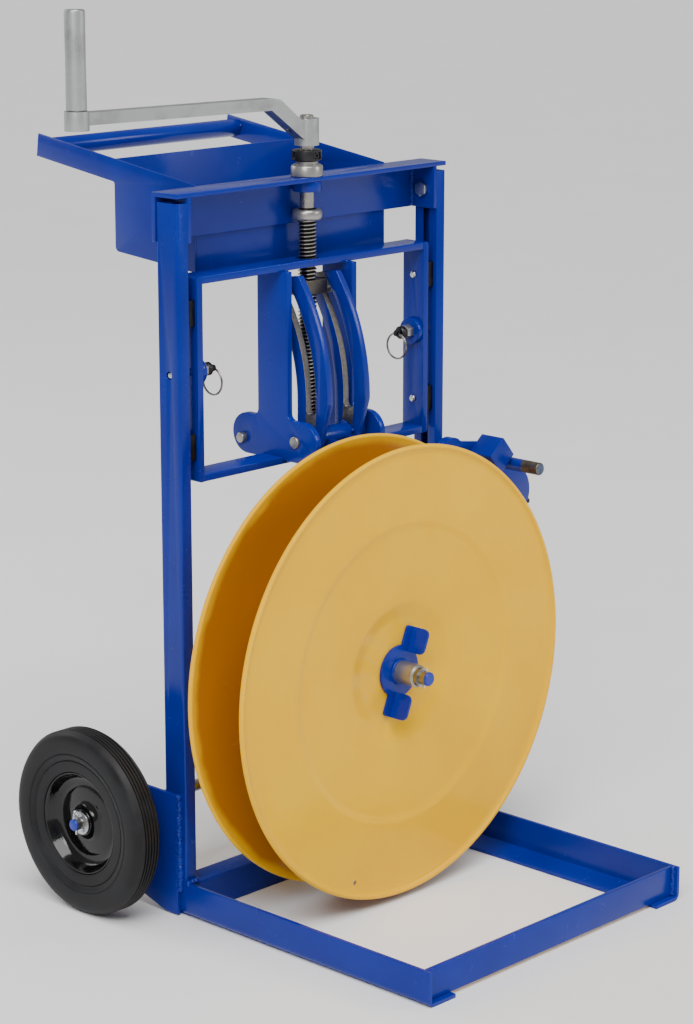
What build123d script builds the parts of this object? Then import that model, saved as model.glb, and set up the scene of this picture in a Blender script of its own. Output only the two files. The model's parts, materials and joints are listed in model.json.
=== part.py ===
from build123d import *
import math
import os

# Strap reel cart: a two-wheeled welded frame that carries a coil reel on a tilting arm.
# Millimetres. X is the machine's right, Y its back, Z up.
# Origin: on the floor, on the axis of the lead screw.

# ---- driving dimensions -------------------------------------------------------------
HALF_WIDTH = 254.0          # posts' outer faces, left and right of the screw
FRAME_TOP = 972.0           # top of the crossbar
RAIL_FRONT = 458.0          # rails reach this far in front of the screw
RAIL_HEIGHT = 48.0
RAIL_LEG = 50.0
RAIL_WALL = 5.5
RAIL_HEEL_RADIUS = 11.0

POST_WIDTH = 18.0           # along X
POST_DEPTH = 40.0           # along Y
POST_WALL = 3.0
POST_SLOT = 12.0
POST_TOP_GAP = 6.5          # between a post's top and the crossbar's top leg

FRONT_BAR_THICKNESS = 6.0
FRONT_BAR_SETBACK = 8.0
REAR_BAR_DEPTH = 37.0
REAR_BAR_HEIGHT = 45.0
REAR_BAR_WALL = 3.0
REAR_BAR_BACK = 16.0

CROSSBAR_TOP_LEG = 47.0
CROSSBAR_BACK_LEG = 64.0
CROSSBAR_WALL = 6.0
CROSSBAR_BACK = 27.0
END_PLATE = 6.0
TOP_BOLT_DROP = 38.0
TOP_BOLT_DIAMETER = 12.0

WHEEL_DIAMETER = 254.0
WHEEL_WIDTH = 44.0
WHEEL_Y = 96.0
TYRE_WALL = 57.0            # radial depth of the solid tyre
TYRE_GROOVE = 2.2
HUB_DIAMETER = 38.0
HUB_LENGTH = 54.0
WHEEL_OFFSET = 16.0         # tyre's middle outboard of the hub's middle
AXLE_DIAMETER = 16.0
AXLE_OVERHANG = 7.0         # beyond the cotter pin
AXLE_PLATE = 6.0
WHEEL_GAP = 22.0            # hub to axle plate
WASHER = 2.5
COTTER_WIRE = 4.0
COTTER_EYE = 4.0
RUNNING = 0.06              # radial clearance of a turning fit
CLEARANCE = 0.5             # gap between pieces that pass each other

TRAY_HALF_WIDTH = 180.0
TRAY_SHEET = 3.0
TRAY_DEPTH = 155.0
TRAY_FLOOR_DROP = 113.0     # tray floor's front edge below the crossbar's top
TRAY_FLOOR_RISE = 13.0
TRAY_LIP_BELOW_TOP = 1.0
TRAY_RISE_PER_MM = 0.1436   # slope of the arms' top edge
ARM_REACH = 340.0
ARM_HEIGHT = 31.0
HANDLE_DIAMETER = 25.0
HANDLE_BEFORE_END = 20.0

SCREW_DIAMETER = 25.4
SCREW_PITCH = 5.08
SCREW_ROOT = 20.3
SHAFT_DIAMETER = 19.0
THREAD_BELOW_BAR = 21.0     # thread's end below the carriage
SHAFT_STUB = 4.5            # shaft's top above the crank's hub
BOSS_DIAMETER = 39.0
BOSS_HEIGHT = 14.0
THRUST_DIAMETER = 43.0
THRUST_HEIGHT = 20.5
COLLAR_DIAMETER = 40.0
COLLAR_HEIGHT = 14.0
STOP_RING_DIAMETER = 41.0
STOP_RING_HEIGHT = 14.0
STOP_RING_DROP = 58.0       # below the crossbar's top
THREAD_RUNOUT = 2.0

CRANK_RADIUS = 400.0
CRANK_ARM_DEPTH = 15.5      # along Z
CRANK_ARM_WIDTH = 20.0      # along Y
CRANK_ARM_HEIGHT = 66.5     # arm's top above the hub's underside
CRANK_ARM_RISE = 4.5        # the arm's top climbs this much out to the eye
CRANK_HUB_GAP = 6.0         # collar to hub
CRANK_HUB_HEIGHT = 35.5
CRANK_HUB_DIAMETER = 33.0
CRANK_BEND_X = 70.0
CRANK_EYE = 31.0
GRIP_DIAMETER = 26.0
GRIP_LENGTH = 122.0
GRIP_PIN = 12.0
ROLL_PIN = 6.0

# carriage: a flat-bar rectangle held between the posts
CARRIAGE_BOTTOM = 593.0
CARRIAGE_TOP = 863.0
BAR_THICKNESS = 10.0
BAR_DEPTH = 38.0
SIDE_BAR_INNER = 211.0
GUIDE_LENGTH = 34.0
GUIDE_INSET = 47.0          # guide screw below or above the carriage's corner
GUIDE_SCREW = 6.0
HANGER_OUTER = 67.0         # outer face of a cam hanger
HANGER_PLATE = 10.0
HANGER_WIDTH = 56.0
HANGER_REAR = 77.0
HANGER_FRONT = 82.0
STOP_PIN_Y = 57.0
STOP_PIN_DIAMETER = 14.0

PIVOT_Y = -42.0
PIVOT_RISE = 33.0           # above the carriage's underside
PIVOT_SHAFT = 16.0
PIVOT_TUBE = 27.0
PIVOT_LOBE = 21.0

CAM_INNER = 31.0
CAM_PLATE = 10.0
CAM_CENTRE_Y = 209.0
CAM_CENTRE_RISE = 50.0      # above the pivot
CAM_SLOT_RADIUS = 256.0
CAM_SLOT_WIDTH = 18.0
CAM_FRONT_STRIP = 22.0
CAM_REAR_STRIP = 17.0
CAM_TIP_RADIUS = 219.0      # from the pivot
CAM_SLOT_END_WALL = 10.0

CRANK_TURNS = 38.0
NUT_WIDTH = 50.0
NUT_DEPTH = 28.0
NUT_HEIGHT = 20.0

# plungers that lock the carriage to the posts
PLUNGER_RISE = 144.0        # above the carriage's underside
PLUNGER_BOSS = 37.0
PLUNGER_BOSS_LENGTH = 8.0
PLUNGER_BARREL = 17.0
PLUNGER_BARREL_LENGTH = 12.0
PLUNGER_PIN = 9.5
PLUNGER_KNOB = 18.0
PLUNGER_KNOB_LENGTH = 9.0
PLUNGER_TANG = 5.0          # flat eye beyond the knob, along Y
PLUNGER_EYE = 9.0
RING_OUTER = 38.0
RING_WIRE = 2.4

# reel
REEL_DIAMETER = 622.0
REEL_CORE = 390.0
REEL_DROP = 305.0           # reel's axis below the pivot
REEL_REAR_RIM_Y = -90.0
REEL_WIDTH = 94.0           # between the two rims' centres
FLANGE_SHEET = 2.0
RIM_BEAD = 7.0
HUB_PRESS_DIAMETER = 196.0  # the cone ends here in a bowl
HUB_PRESS_DEPTH = 16.0      # hub face behind the rim's plane
HUB_PRESS_SLOPE = 24.0      # radial width of the bowl's wall
CONE_DEPTH = 8.0            # cone's inner end behind the rim's plane
RING_PRESS_DIAMETER = 410.0
RING_PRESS_DEPTH = 3.0      # step between the outer zone and the cone
RING_PRESS_SLOPE = 6.0
RIM_HOLE = 7.0
RIM_HOLE_INSET = 22.0
RIM_HOLE_ANGLE = 20.0        # from straight down
REEL_HUB = 60.0
CORE_WALL = 2.0
SPINDLE_DIAMETER = 19.0
SPINDLE_TIP_Y = -227.0
ARM_TUBE = 38.0
ARM_TUBE_WALL = 3.0
SHOULDER_DIAMETER = 60.0    # collar that stops the reel's hub

WING_DISC = 72.0
WING_PLATE = 4.0
WING_SPAN = 126.0
WING_STRIP = 16.0
WING_FLANGE = 27.0
WING_LEAN = 22.0            # how far the wings rest from upright
SLEEVE_DIAMETER = 31.0
SLEEVE_LENGTH = 39.0
CLIP_DIAMETER = 26.0
CLIP_LENGTH = 5.0

# strap guide lever on the reel arm
LEVER_PIVOT_X = 211.0
LEVER_PIVOT_RISE = 251.0    # above the reel's axis, as all heights here
LEVER_BACK_Y = -70.0
LEVER_PLATE = 7.0
LEVER_BEARER_PLATE = 7.0
LEVER_LOBE_X = 338.0
LEVER_LOBE_RISE = 172.0
LEVER_NECK_X = 286.0
LEVER_NECK_RISE = 239.0
LEVER_NECK_RADIUS = 22.0
LEVER_ROOT_RISE = 149.0
LEVER_LOBE_RADIUS = 40.0
LEVER_EYE_RADIUS = 22.0
LEVER_PIN = 12.0
BLOCK_SIDE = 36.0
BLOCK_LENGTH = 40.0
BLOCK_RIDGE_X = 272.0
BLOCK_RIDGE_RISE = 270.0
BLOCK_TURN = 40.0
ROD_X = 300.0
ROD_RISE = 227.0
ROD_DIAMETER = 18.0
ROD_TIP_Y = -162.0
LOBE_SCREW = 8.0

# ---- derived places -----------------------------------------------------------------
POST_INNER = HALF_WIDTH - POST_WIDTH
POST_BOTTOM = RAIL_HEIGHT
POST_TOP = FRAME_TOP - CROSSBAR_WALL - POST_TOP_GAP
WHEEL_Z = WHEEL_DIAMETER / 2
PLATE_OUTER = HALF_WIDTH + AXLE_PLATE
HUB_INNER_X = PLATE_OUTER + WHEEL_GAP
HUB_OUTER_X = HUB_INNER_X + HUB_LENGTH
WHEEL_CENTRE_X = HUB_OUTER_X - HUB_LENGTH / 2 + WHEEL_OFFSET
COTTER_X = HUB_OUTER_X + CLEARANCE + WASHER + COTTER_EYE + 2.5
COTTER_HOLE = COTTER_WIRE + 0.2
AXLE_HALF_LENGTH = COTTER_X + AXLE_OVERHANG
TRAY_FRONT = CROSSBAR_BACK
TRAY_BACK = TRAY_FRONT + TRAY_DEPTH
SIDE_BAR_OUTER = SIDE_BAR_INNER + BAR_THICKNESS
SCREW_HOLE = SCREW_DIAMETER + 4.0
REEL_FRONT_RIM_Y = REEL_REAR_RIM_Y - REEL_WIDTH
TRAY_FLOOR_Z = FRAME_TOP - TRAY_FLOOR_DROP
STOP_RING_Z = FRAME_TOP - STOP_RING_DROP
THREAD_TOP = STOP_RING_Z + STOP_RING_HEIGHT + THREAD_RUNOUT
THREAD_BOTTOM = CARRIAGE_BOTTOM - THREAD_BELOW_BAR
COLLAR_Z = FRAME_TOP + THRUST_HEIGHT + CLEARANCE
CRANK_HUB_Z = COLLAR_Z + COLLAR_HEIGHT + CRANK_HUB_GAP
CRANK_ARM_TOP = CRANK_HUB_Z + CRANK_ARM_HEIGHT
SHAFT_TOP = CRANK_HUB_Z + CRANK_HUB_HEIGHT + SHAFT_STUB
ROLL_PIN_Z = CRANK_HUB_Z + CRANK_HUB_HEIGHT * 0.62
PIVOT_Z = CARRIAGE_BOTTOM + PIVOT_RISE
CAM_CENTRE_Z = PIVOT_Z + CAM_CENTRE_RISE
PLUNGER_Z = CARRIAGE_BOTTOM + PLUNGER_RISE
REEL_Z = PIVOT_Z - REEL_DROP
LEVER_PIVOT_Z = REEL_Z + LEVER_PIVOT_RISE
LEVER_LOBE_Z = REEL_Z + LEVER_LOBE_RISE
LEVER_NECK_Z = REEL_Z + LEVER_NECK_RISE
BLOCK_RIDGE_Z = REEL_Z + BLOCK_RIDGE_RISE
ROD_Z = REEL_Z + ROD_RISE
LEVER_FRONT_Y = LEVER_BACK_Y - LEVER_PLATE
SIDES = ((-1, "left"), (1, "right"))
FAR = 2000.0                # past every piece, for cutters

# The nut's trunnions start at the slots' upper ends, in the screw's plane, and end there when
# the arm has turned by a quarter turn: both places follow from the slots' arc about the pivot.
SLOT_TOP_ANGLE = math.acos(CAM_CENTRE_Y / CAM_SLOT_RADIUS)
NUT_TOP_Z = CAM_CENTRE_Z + CAM_SLOT_RADIUS * math.sin(SLOT_TOP_ANGLE)
NUT_TRAVEL = CRANK_TURNS * SCREW_PITCH
NUT_LOW_Z = NUT_TOP_Z - NUT_TRAVEL


def slot_point(angle, radius=CAM_SLOT_RADIUS):
    """A point of the cam's arc, (Y, Z), at an angle above the arc centre's front."""
    return (CAM_CENTRE_Y - radius * math.cos(angle), CAM_CENTRE_Z + radius * math.sin(angle))


def slot_angle_at_low_nut():
    """Where the trunnion sits in the slot when the nut is at its lowest."""
    reach = math.hypot(PIVOT_Y, NUT_LOW_Z - PIVOT_Z)
    low, high = -0.3, SLOT_TOP_ANGLE
    for _ in range(60):
        middle = (low + high) / 2
        y, z = slot_point(middle)
        if math.hypot(y - PIVOT_Y, z - PIVOT_Z) > reach:
            high = middle
        else:
            low = middle
    return high


SLOT_LOW_ANGLE = slot_angle_at_low_nut()


# ---- small helpers ------------------------------------------------------------------
def save(name, shape):
    os.makedirs("parts", exist_ok=True)
    shape.label = name
    export_step(shape, f"parts/{name}.step")


def block(x0, x1, y0, y1, z0, z1):
    """A box from its lowest to its highest corner."""
    size = (x1 - x0, y1 - y0, z1 - z0)
    centre = ((x0 + x1) / 2, (y0 + y1) / 2, (z0 + z1) / 2)
    return Pos(*centre) * Box(*size)


def rod_x(diameter, x0, x1, y, z):
    return Pos((x0 + x1) / 2, y, z) * Rot(0, 90, 0) * Cylinder(diameter / 2, abs(x1 - x0))


def rod_y(diameter, y0, y1, x, z):
    return Pos(x, (y0 + y1) / 2, z) * Rot(90, 0, 0) * Cylinder(diameter / 2, abs(y1 - y0))


def rod_z(diameter, z0, z1, x=0.0, y=0.0):
    return Pos(x, y, (z0 + z1) / 2) * Cylinder(diameter / 2, abs(z1 - z0))


def plate_yz(outline, x0, x1):
    """A plate of a closed (Y, Z) outline between two X planes."""
    face = make_face(Polyline(*outline, close=True))
    return extrude(Plane.YZ.offset(x0) * face, x1 - x0)


def plate_xz(outline, y0, y1):
    """A plate of a closed (X, Z) outline between two Y planes."""
    face = make_face(Polyline(*outline, close=True))
    return extrude(Plane.XZ.offset(-y1) * face, y1 - y0)


def mirrored(shape):
    return mirror(shape, Plane.YZ)


def group(*shapes):
    """Separate solids of one node."""
    solids = [solid for shape in shapes for solid in shape.solids()]
    return Compound(children=solids)


def hex_head(across, height):
    return extrude(RegularPolygon(across / 2, 6, major_radius=False), height)


# ---- base frame ---------------------------------------------------------------------
def post():
    """The left post: a lipped channel, open inwards."""
    outer = block(-HALF_WIDTH, -POST_INNER, -POST_DEPTH / 2, POST_DEPTH / 2, POST_BOTTOM, POST_TOP)
    outer = fillet(outer.edges().filter_by(Axis.Z).group_by(Axis.X)[0], 3.0)
    cavity = block(-HALF_WIDTH + POST_WALL, -POST_INNER - POST_WALL, -POST_DEPTH / 2 + POST_WALL,
                   POST_DEPTH / 2 - POST_WALL, POST_BOTTOM - 1, POST_TOP + 1)
    slot = block(-POST_INNER - POST_WALL - 1, -POST_INNER + 1, -POST_SLOT / 2, POST_SLOT / 2,
                 POST_BOTTOM - 1, POST_TOP + 1)
    lock_hole = rod_x(PLUNGER_PIN + 2 * CLEARANCE, -HALF_WIDTH - 1, -HALF_WIDTH + POST_WALL + 1,
                      0, PLUNGER_Z)
    return outer - cavity - slot - lock_hole


def rail():
    """The left base rail: a formed angle, its level leg turned inwards under the front."""
    x = -HALF_WIDTH
    upright = block(x, x + RAIL_WALL, -RAIL_FRONT, POST_DEPTH / 2, 0, RAIL_HEIGHT)
    rear_bar_front = REAR_BAR_BACK - REAR_BAR_DEPTH
    level = block(x, x + RAIL_LEG, -RAIL_FRONT, rear_bar_front, 0, RAIL_WALL)
    angle = upright + level
    heel = [e for e in angle.edges().filter_by(Axis.Y) if abs(e.center().X - x) < 0.01
            and abs(e.center().Z) < 0.01 and e.center().Y < rear_bar_front]
    return fillet(heel, min(RAIL_HEEL_RADIUS, 2 * RAIL_WALL)) if heel else angle


def front_bar():
    inner = HALF_WIDTH - RAIL_WALL
    y = -RAIL_FRONT + FRONT_BAR_SETBACK
    return block(-inner, inner, y, y + FRONT_BAR_THICKNESS, RAIL_WALL, RAIL_HEIGHT)


def rear_bar():
    """A rectangular tube between the rails, under the posts."""
    inner = HALF_WIDTH - RAIL_WALL
    y0 = REAR_BAR_BACK - REAR_BAR_DEPTH
    tube = block(-inner, inner, y0, REAR_BAR_BACK, 0, REAR_BAR_HEIGHT)
    tube = fillet(tube.edges().filter_by(Axis.X), 3.0)
    wall = REAR_BAR_WALL
    return tube - block(-inner - 1, inner + 1, y0 + wall, REAR_BAR_BACK - wall,
                        wall, REAR_BAR_HEIGHT - wall)


def axle_plate():
    """The left gusset that carries the axle behind the post."""
    front, back = -8.0, WHEEL_Y + 34.0
    top = WHEEL_Z + 44.0
    outline = [(front, 2), (18, 2), (60, 15), (back, WHEEL_Z - 55), (back, top), (front, top)]
    plate = plate_yz(outline, -PLATE_OUTER, -HALF_WIDTH)
    corner = plate.edges().filter_by(Axis.X).group_by(Axis.Y)[-1]
    plate = fillet(corner, 14.0)
    hole = rod_x(AXLE_DIAMETER + 2 * RUNNING, -PLATE_OUTER - 1, -HALF_WIDTH + 1, WHEEL_Y, WHEEL_Z)
    return plate - hole


def axle():
    rod = rod_x(AXLE_DIAMETER, -AXLE_HALF_LENGTH, AXLE_HALF_LENGTH, WHEEL_Y, WHEEL_Z)
    rod = chamfer(rod.edges().filter_by(GeomType.CIRCLE), 1.5)
    for side, _ in SIDES:
        rod -= rod_z(COTTER_HOLE, WHEEL_Z - 12, WHEEL_Z + 12, side * COTTER_X, WHEEL_Y)
    return rod



def axle_spacer(side):
    x0, x1 = side * PLATE_OUTER, side * (HUB_INNER_X - CLEARANCE)
    ring = rod_x(28.0, min(x0, x1), max(x0, x1), WHEEL_Y, WHEEL_Z)
    return ring - rod_x(AXLE_DIAMETER, -FAR, FAR, WHEEL_Y, WHEEL_Z)


def axle_washer(side):
    x0, x1 = side * (HUB_OUTER_X + CLEARANCE), side * (HUB_OUTER_X + CLEARANCE + WASHER)
    ring = rod_x(32.0, min(x0, x1), max(x0, x1), WHEEL_Y, WHEEL_Z)
    return ring - rod_x(AXLE_DIAMETER, -FAR, FAR, WHEEL_Y, WHEEL_Z)


def cotter_pin(side):
    pin = rod_z(COTTER_WIRE, WHEEL_Z - 14, WHEEL_Z + 12, side * COTTER_X, WHEEL_Y)
    head = Pos(side * COTTER_X, WHEEL_Y, WHEEL_Z + 15) * Rot(90, 0, 0) * Torus(COTTER_EYE, 1.6)
    return pin + head


# ---- wheels -------------------------------------------------------------------------
def tyre(side):
    """A solid rubber tyre with grooves round its tread."""
    r = WHEEL_DIAMETER / 2
    inner = r - TYRE_WALL
    half = WHEEL_WIDTH / 2
    groove, land = TYRE_GROOVE, 5.6
    profile = [(inner, -half + 6), (inner + 8, -half), (r - 9, -half), (r - 2, -half + 5)]
    for i in range(-2, 3):
        middle = i * land
        profile += [(r, middle - groove), (r - groove, middle - groove / 2),
                    (r - groove, middle + groove / 2), (r, middle + groove)]
    profile += [(r - 2, half - 5), (r - 9, half), (inner + 8, half), (inner, half - 6)]
    face = make_face(Polyline(*profile, close=True))
    ring = revolve(Plane.XZ * face, Axis.Z)
    return Pos(side * WHEEL_CENTRE_X, WHEEL_Y, WHEEL_Z) * Rot(0, 90 * side, 0) * ring


def rim(side):
    """A pressed dished rim with the hub tube that turns on the axle."""
    seat = WHEEL_DIAMETER / 2 - TYRE_WALL
    half = WHEEL_WIDTH / 2
    hub_r = HUB_DIAMETER / 2
    bore = AXLE_DIAMETER / 2 + RUNNING
    out = HUB_OUTER_X - WHEEL_CENTRE_X
    back = HUB_INNER_X - WHEEL_CENTRE_X
    # the dish falls from the seat's outer edge to a flat web, then rises to the hub
    profile = [(bore, back), (hub_r, back), (hub_r, -4), (hub_r + 8, -2), (seat - 12, -2),
               (seat - 4, -half + 8), (seat, -half + 6), (seat, half - 6), (seat - 4, half - 5),
               (seat - 10, 3), (hub_r + 8, 2), (hub_r, 5), (hub_r - 4, out), (bore, out)]
    face = make_face(Polyline(*profile, close=True))
    disc = revolve(Plane.XZ * face, Axis.Z)
    return Pos(side * WHEEL_CENTRE_X, WHEEL_Y, WHEEL_Z) * Rot(0, 90 * side, 0) * disc


# ---- crossbar and tray --------------------------------------------------------------
def crossbar():
    """An angle laid over the posts, its back leg hanging behind them."""
    reach = HALF_WIDTH + 1.0
    front = CROSSBAR_BACK - CROSSBAR_TOP_LEG
    top = block(-reach, reach, front, CROSSBAR_BACK, FRAME_TOP - CROSSBAR_WALL, FRAME_TOP)
    leg = block(-reach, reach, CROSSBAR_BACK - CROSSBAR_WALL, CROSSBAR_BACK,
                FRAME_TOP - CROSSBAR_BACK_LEG, FRAME_TOP)
    return top + leg - rod_z(SHAFT_DIAMETER + 2 * CLEARANCE, FRAME_TOP - 20, FRAME_TOP + 1)


def end_plate(side):
    """A plate inside the post, welded under the crossbar and bolted to the post."""
    x0, x1 = side * (POST_INNER - END_PLATE), side * POST_INNER
    plate = block(min(x0, x1), max(x0, x1), CROSSBAR_BACK - CROSSBAR_TOP_LEG,
                  CROSSBAR_BACK - CROSSBAR_WALL, FRAME_TOP - CROSSBAR_BACK_LEG,
                  FRAME_TOP - CROSSBAR_WALL)
    return plate - rod_x(TOP_BOLT_DIAMETER, -FAR, FAR, 0, FRAME_TOP - TOP_BOLT_DROP)


BOLT_HEAD_ACROSS = 18.0
BOLT_HEAD_HEIGHT = 7.5
NUT_PLATE = 6.0


def top_bolt():
    """The left bolt: its head on the end plate, its shank in the channel nut."""
    z = FRAME_TOP - TOP_BOLT_DROP
    head_face = -(POST_INNER - END_PLATE)
    shank_end = -(POST_INNER + POST_WALL + NUT_PLATE)
    shank = rod_x(TOP_BOLT_DIAMETER, shank_end, head_face, 0, z)
    head = Pos(head_face, 0, z) * Rot(0, 90, 0) * hex_head(BOLT_HEAD_ACROSS, BOLT_HEAD_HEIGHT)
    return shank + head


def channel_nut():
    """The left strut nut, behind the post's lips."""
    z = FRAME_TOP - TOP_BOLT_DROP
    x1 = -(POST_INNER + POST_WALL)
    plate = block(x1 - NUT_PLATE, x1, -15, 15, z - 12, z + 12)
    return plate - rod_x(TOP_BOLT_DIAMETER, -FAR, FAR, 0, z)


def screw_boss():
    boss = rod_z(BOSS_DIAMETER, FRAME_TOP - CROSSBAR_WALL - BOSS_HEIGHT, FRAME_TOP - CROSSBAR_WALL)
    back = CROSSBAR_BACK - CROSSBAR_WALL
    boss -= block(-50, 50, back, back + 40, 0, FRAME_TOP)
    return boss - rod_z(SHAFT_DIAMETER + 2 * RUNNING, 0, FRAME_TOP)


def thrust_bearing():
    """Two races with a cage between, on the crossbar round the shaft."""
    z0 = FRAME_TOP
    bore = SHAFT_DIAMETER + 2 * RUNNING
    ring = rod_z(THRUST_DIAMETER, z0, z0 + THRUST_HEIGHT)
    neck = rod_z(THRUST_DIAMETER + 4, z0 + 6.5, z0 + 9) - rod_z(THRUST_DIAMETER - 4, z0, z0 + 20)
    ring = chamfer(ring.edges().filter_by(GeomType.CIRCLE), 1.5)
    return ring - neck - rod_z(bore, z0 - 1, z0 + THRUST_HEIGHT + 1)


def arm_top(y):
    return FRAME_TOP + TRAY_LIP_BELOW_TOP + (y - TRAY_FRONT) * TRAY_RISE_PER_MM


def tray_side(side):
    """A tray side that runs on back as the handle's arm."""
    rise = TRAY_FLOOR_RISE
    lean = 4.0
    outline = [(TRAY_FRONT, TRAY_FLOOR_Z), (TRAY_BACK, TRAY_FLOOR_Z + rise),
               (TRAY_BACK, arm_top(TRAY_BACK) - ARM_HEIGHT),
               (ARM_REACH, arm_top(ARM_REACH - lean) - ARM_HEIGHT),
               (ARM_REACH - lean, arm_top(ARM_REACH - lean)), (TRAY_FRONT, arm_top(TRAY_FRONT))]
    x0, x1 = side * TRAY_HALF_WIDTH, side * (TRAY_HALF_WIDTH - TRAY_SHEET)
    plate = plate_yz(outline, min(x0, x1), max(x0, x1))
    inner_corner = [e for e in plate.edges().filter_by(Axis.X)
                    if abs(e.center().Y - TRAY_BACK) < 0.01 and e.center().Z > TRAY_FLOOR_Z + 40]
    plate = fillet(inner_corner, 4.0)
    low_corner = [e for e in plate.edges().filter_by(Axis.X)
                  if abs(e.center().Y - TRAY_BACK) < 0.01 and e.center().Z < TRAY_FLOOR_Z + 40]
    return fillet(low_corner, 7.0)


def tray_pan():
    """Front wall, floor and back wall, bent from one sheet."""
    t = TRAY_SHEET
    rise = TRAY_FLOOR_RISE
    outline = [(TRAY_FRONT, FRAME_TOP - CROSSBAR_WALL), (TRAY_FRONT, TRAY_FLOOR_Z),
               (TRAY_BACK, TRAY_FLOOR_Z + rise), (TRAY_BACK, arm_top(TRAY_BACK)),
               (TRAY_BACK - t, arm_top(TRAY_BACK)), (TRAY_BACK - t, TRAY_FLOOR_Z + rise + t),
               (TRAY_FRONT + t, TRAY_FLOOR_Z + t), (TRAY_FRONT + t, FRAME_TOP - CROSSBAR_WALL)]
    half = TRAY_HALF_WIDTH - TRAY_SHEET
    return plate_yz(outline, -half, half)


HANDLE_Y = ARM_REACH - HANDLE_BEFORE_END


def tray_handle():
    half = TRAY_HALF_WIDTH - TRAY_SHEET
    z = arm_top(HANDLE_Y) - ARM_HEIGHT / 2
    tube = rod_x(HANDLE_DIAMETER, -half, half, HANDLE_Y, z)
    return tube - rod_x(HANDLE_DIAMETER - 5.0, -half - 1, half + 1, HANDLE_Y, z)


# ---- lead screw and crank -----------------------------------------------------------
def lead_screw():
    """A plain shaft above a thread drawn as rings of the thread's section."""
    crest, root = SCREW_DIAMETER / 2, SCREW_ROOT / 2
    shaft = SHAFT_DIAMETER / 2
    outline = [(0, THREAD_BOTTOM), (root, THREAD_BOTTOM)]
    turns = int((THREAD_TOP - THREAD_BOTTOM) / SCREW_PITCH) - 1
    start = THREAD_BOTTOM + SCREW_PITCH / 2
    quarter = SCREW_PITCH / 4
    for i in range(turns):
        z = start + i * SCREW_PITCH
        outline += [(root, z), (crest, z + 0.6), (crest, z + 2 * quarter - 0.6),
                    (root, z + 2 * quarter)]
    outline += [(root, THREAD_TOP), (shaft, THREAD_TOP), (shaft, SHAFT_TOP - 1.5),
                (shaft - 1.5, SHAFT_TOP), (0, SHAFT_TOP)]
    face = make_face(Polyline(*outline, close=True))
    screw = revolve(Plane.XZ * face, Axis.Z)
    return screw - rod_x(ROLL_PIN, -40, 40, 0, ROLL_PIN_Z)



def screw_collar():
    ring = rod_z(COLLAR_DIAMETER, COLLAR_Z, COLLAR_Z + COLLAR_HEIGHT)
    ring = chamfer(ring.edges().filter_by(GeomType.CIRCLE), 1.0)
    z = COLLAR_Z + COLLAR_HEIGHT / 2
    return ring - rod_z(SHAFT_DIAMETER, 0, 2 * FRAME_TOP) - rod_y(8.0, -40, 0, 0, z)


def collar_set_screw():
    z = COLLAR_Z + COLLAR_HEIGHT / 2
    body = rod_y(8.0, -COLLAR_DIAMETER / 2 + 1, -SHAFT_DIAMETER / 2, 0, z)
    socket = Pos(0, -COLLAR_DIAMETER / 2 + 1, z) * Rot(90, 0, 0) * hex_head(4.0, -3.0)
    return body - socket


def stop_ring():
    ring = rod_z(STOP_RING_DIAMETER, STOP_RING_Z, STOP_RING_Z + STOP_RING_HEIGHT)
    ring = fillet(ring.edges().filter_by(GeomType.CIRCLE), 3.0)
    return ring - rod_z(SCREW_DIAMETER, STOP_RING_Z - 1, STOP_RING_Z + STOP_RING_HEIGHT + 1)


def crank_arm():
    """A cast crank: hub on the shaft, a raised straight arm, and an eye for the grip's pin."""
    half = CRANK_ARM_WIDTH / 2
    top, low = CRANK_ARM_TOP, CRANK_ARM_TOP - CRANK_ARM_DEPTH
    hub_top = CRANK_HUB_Z + CRANK_HUB_HEIGHT
    outline = [(-CRANK_RADIUS, low + CRANK_ARM_RISE), (-CRANK_BEND_X - 4, low),
               (-8, CRANK_HUB_Z + 4), (4, hub_top), (-20, hub_top),
               (-CRANK_BEND_X + 12, top - 2), (-CRANK_BEND_X, top),
               (-CRANK_RADIUS, top + CRANK_ARM_RISE)]
    arm = plate_xz(outline, -half, half)
    arm = fillet(arm.edges().filter_by(Axis.X), 2.0) if arm.edges().filter_by(Axis.X) else arm
    hub = rod_z(CRANK_HUB_DIAMETER, CRANK_HUB_Z, hub_top)
    eye = rod_z(CRANK_EYE, low - 2, GRIP_Z - CLEARANCE, -CRANK_RADIUS)
    crank = arm + hub + eye
    crank -= rod_z(SHAFT_DIAMETER, CRANK_HUB_Z - 1, 2 * FRAME_TOP)
    crank -= rod_z(GRIP_PIN, low - 5, top + 10, -CRANK_RADIUS)
    return crank - rod_x(ROLL_PIN, -40, 40, 0, ROLL_PIN_Z)


def roll_pin():
    half = CRANK_HUB_DIAMETER / 2 + 2.0
    pin = rod_x(ROLL_PIN, -half, half, 0, ROLL_PIN_Z)
    return pin - rod_x(ROLL_PIN - 2.4, -half - 1, half + 1, 0, ROLL_PIN_Z)


GRIP_Z = CRANK_ARM_TOP + CRANK_ARM_RISE + 2.5


def grip_pin():
    """The pin riveted in the crank's eye, with a head inside the grip's top."""
    low = CRANK_ARM_TOP - CRANK_ARM_DEPTH - 2
    pin = rod_z(GRIP_PIN, low, GRIP_Z + GRIP_LENGTH - 8, -CRANK_RADIUS)
    head = rod_z(GRIP_PIN + 6, GRIP_Z + GRIP_LENGTH - 8, GRIP_Z + GRIP_LENGTH - 3, -CRANK_RADIUS)
    return pin + head


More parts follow.
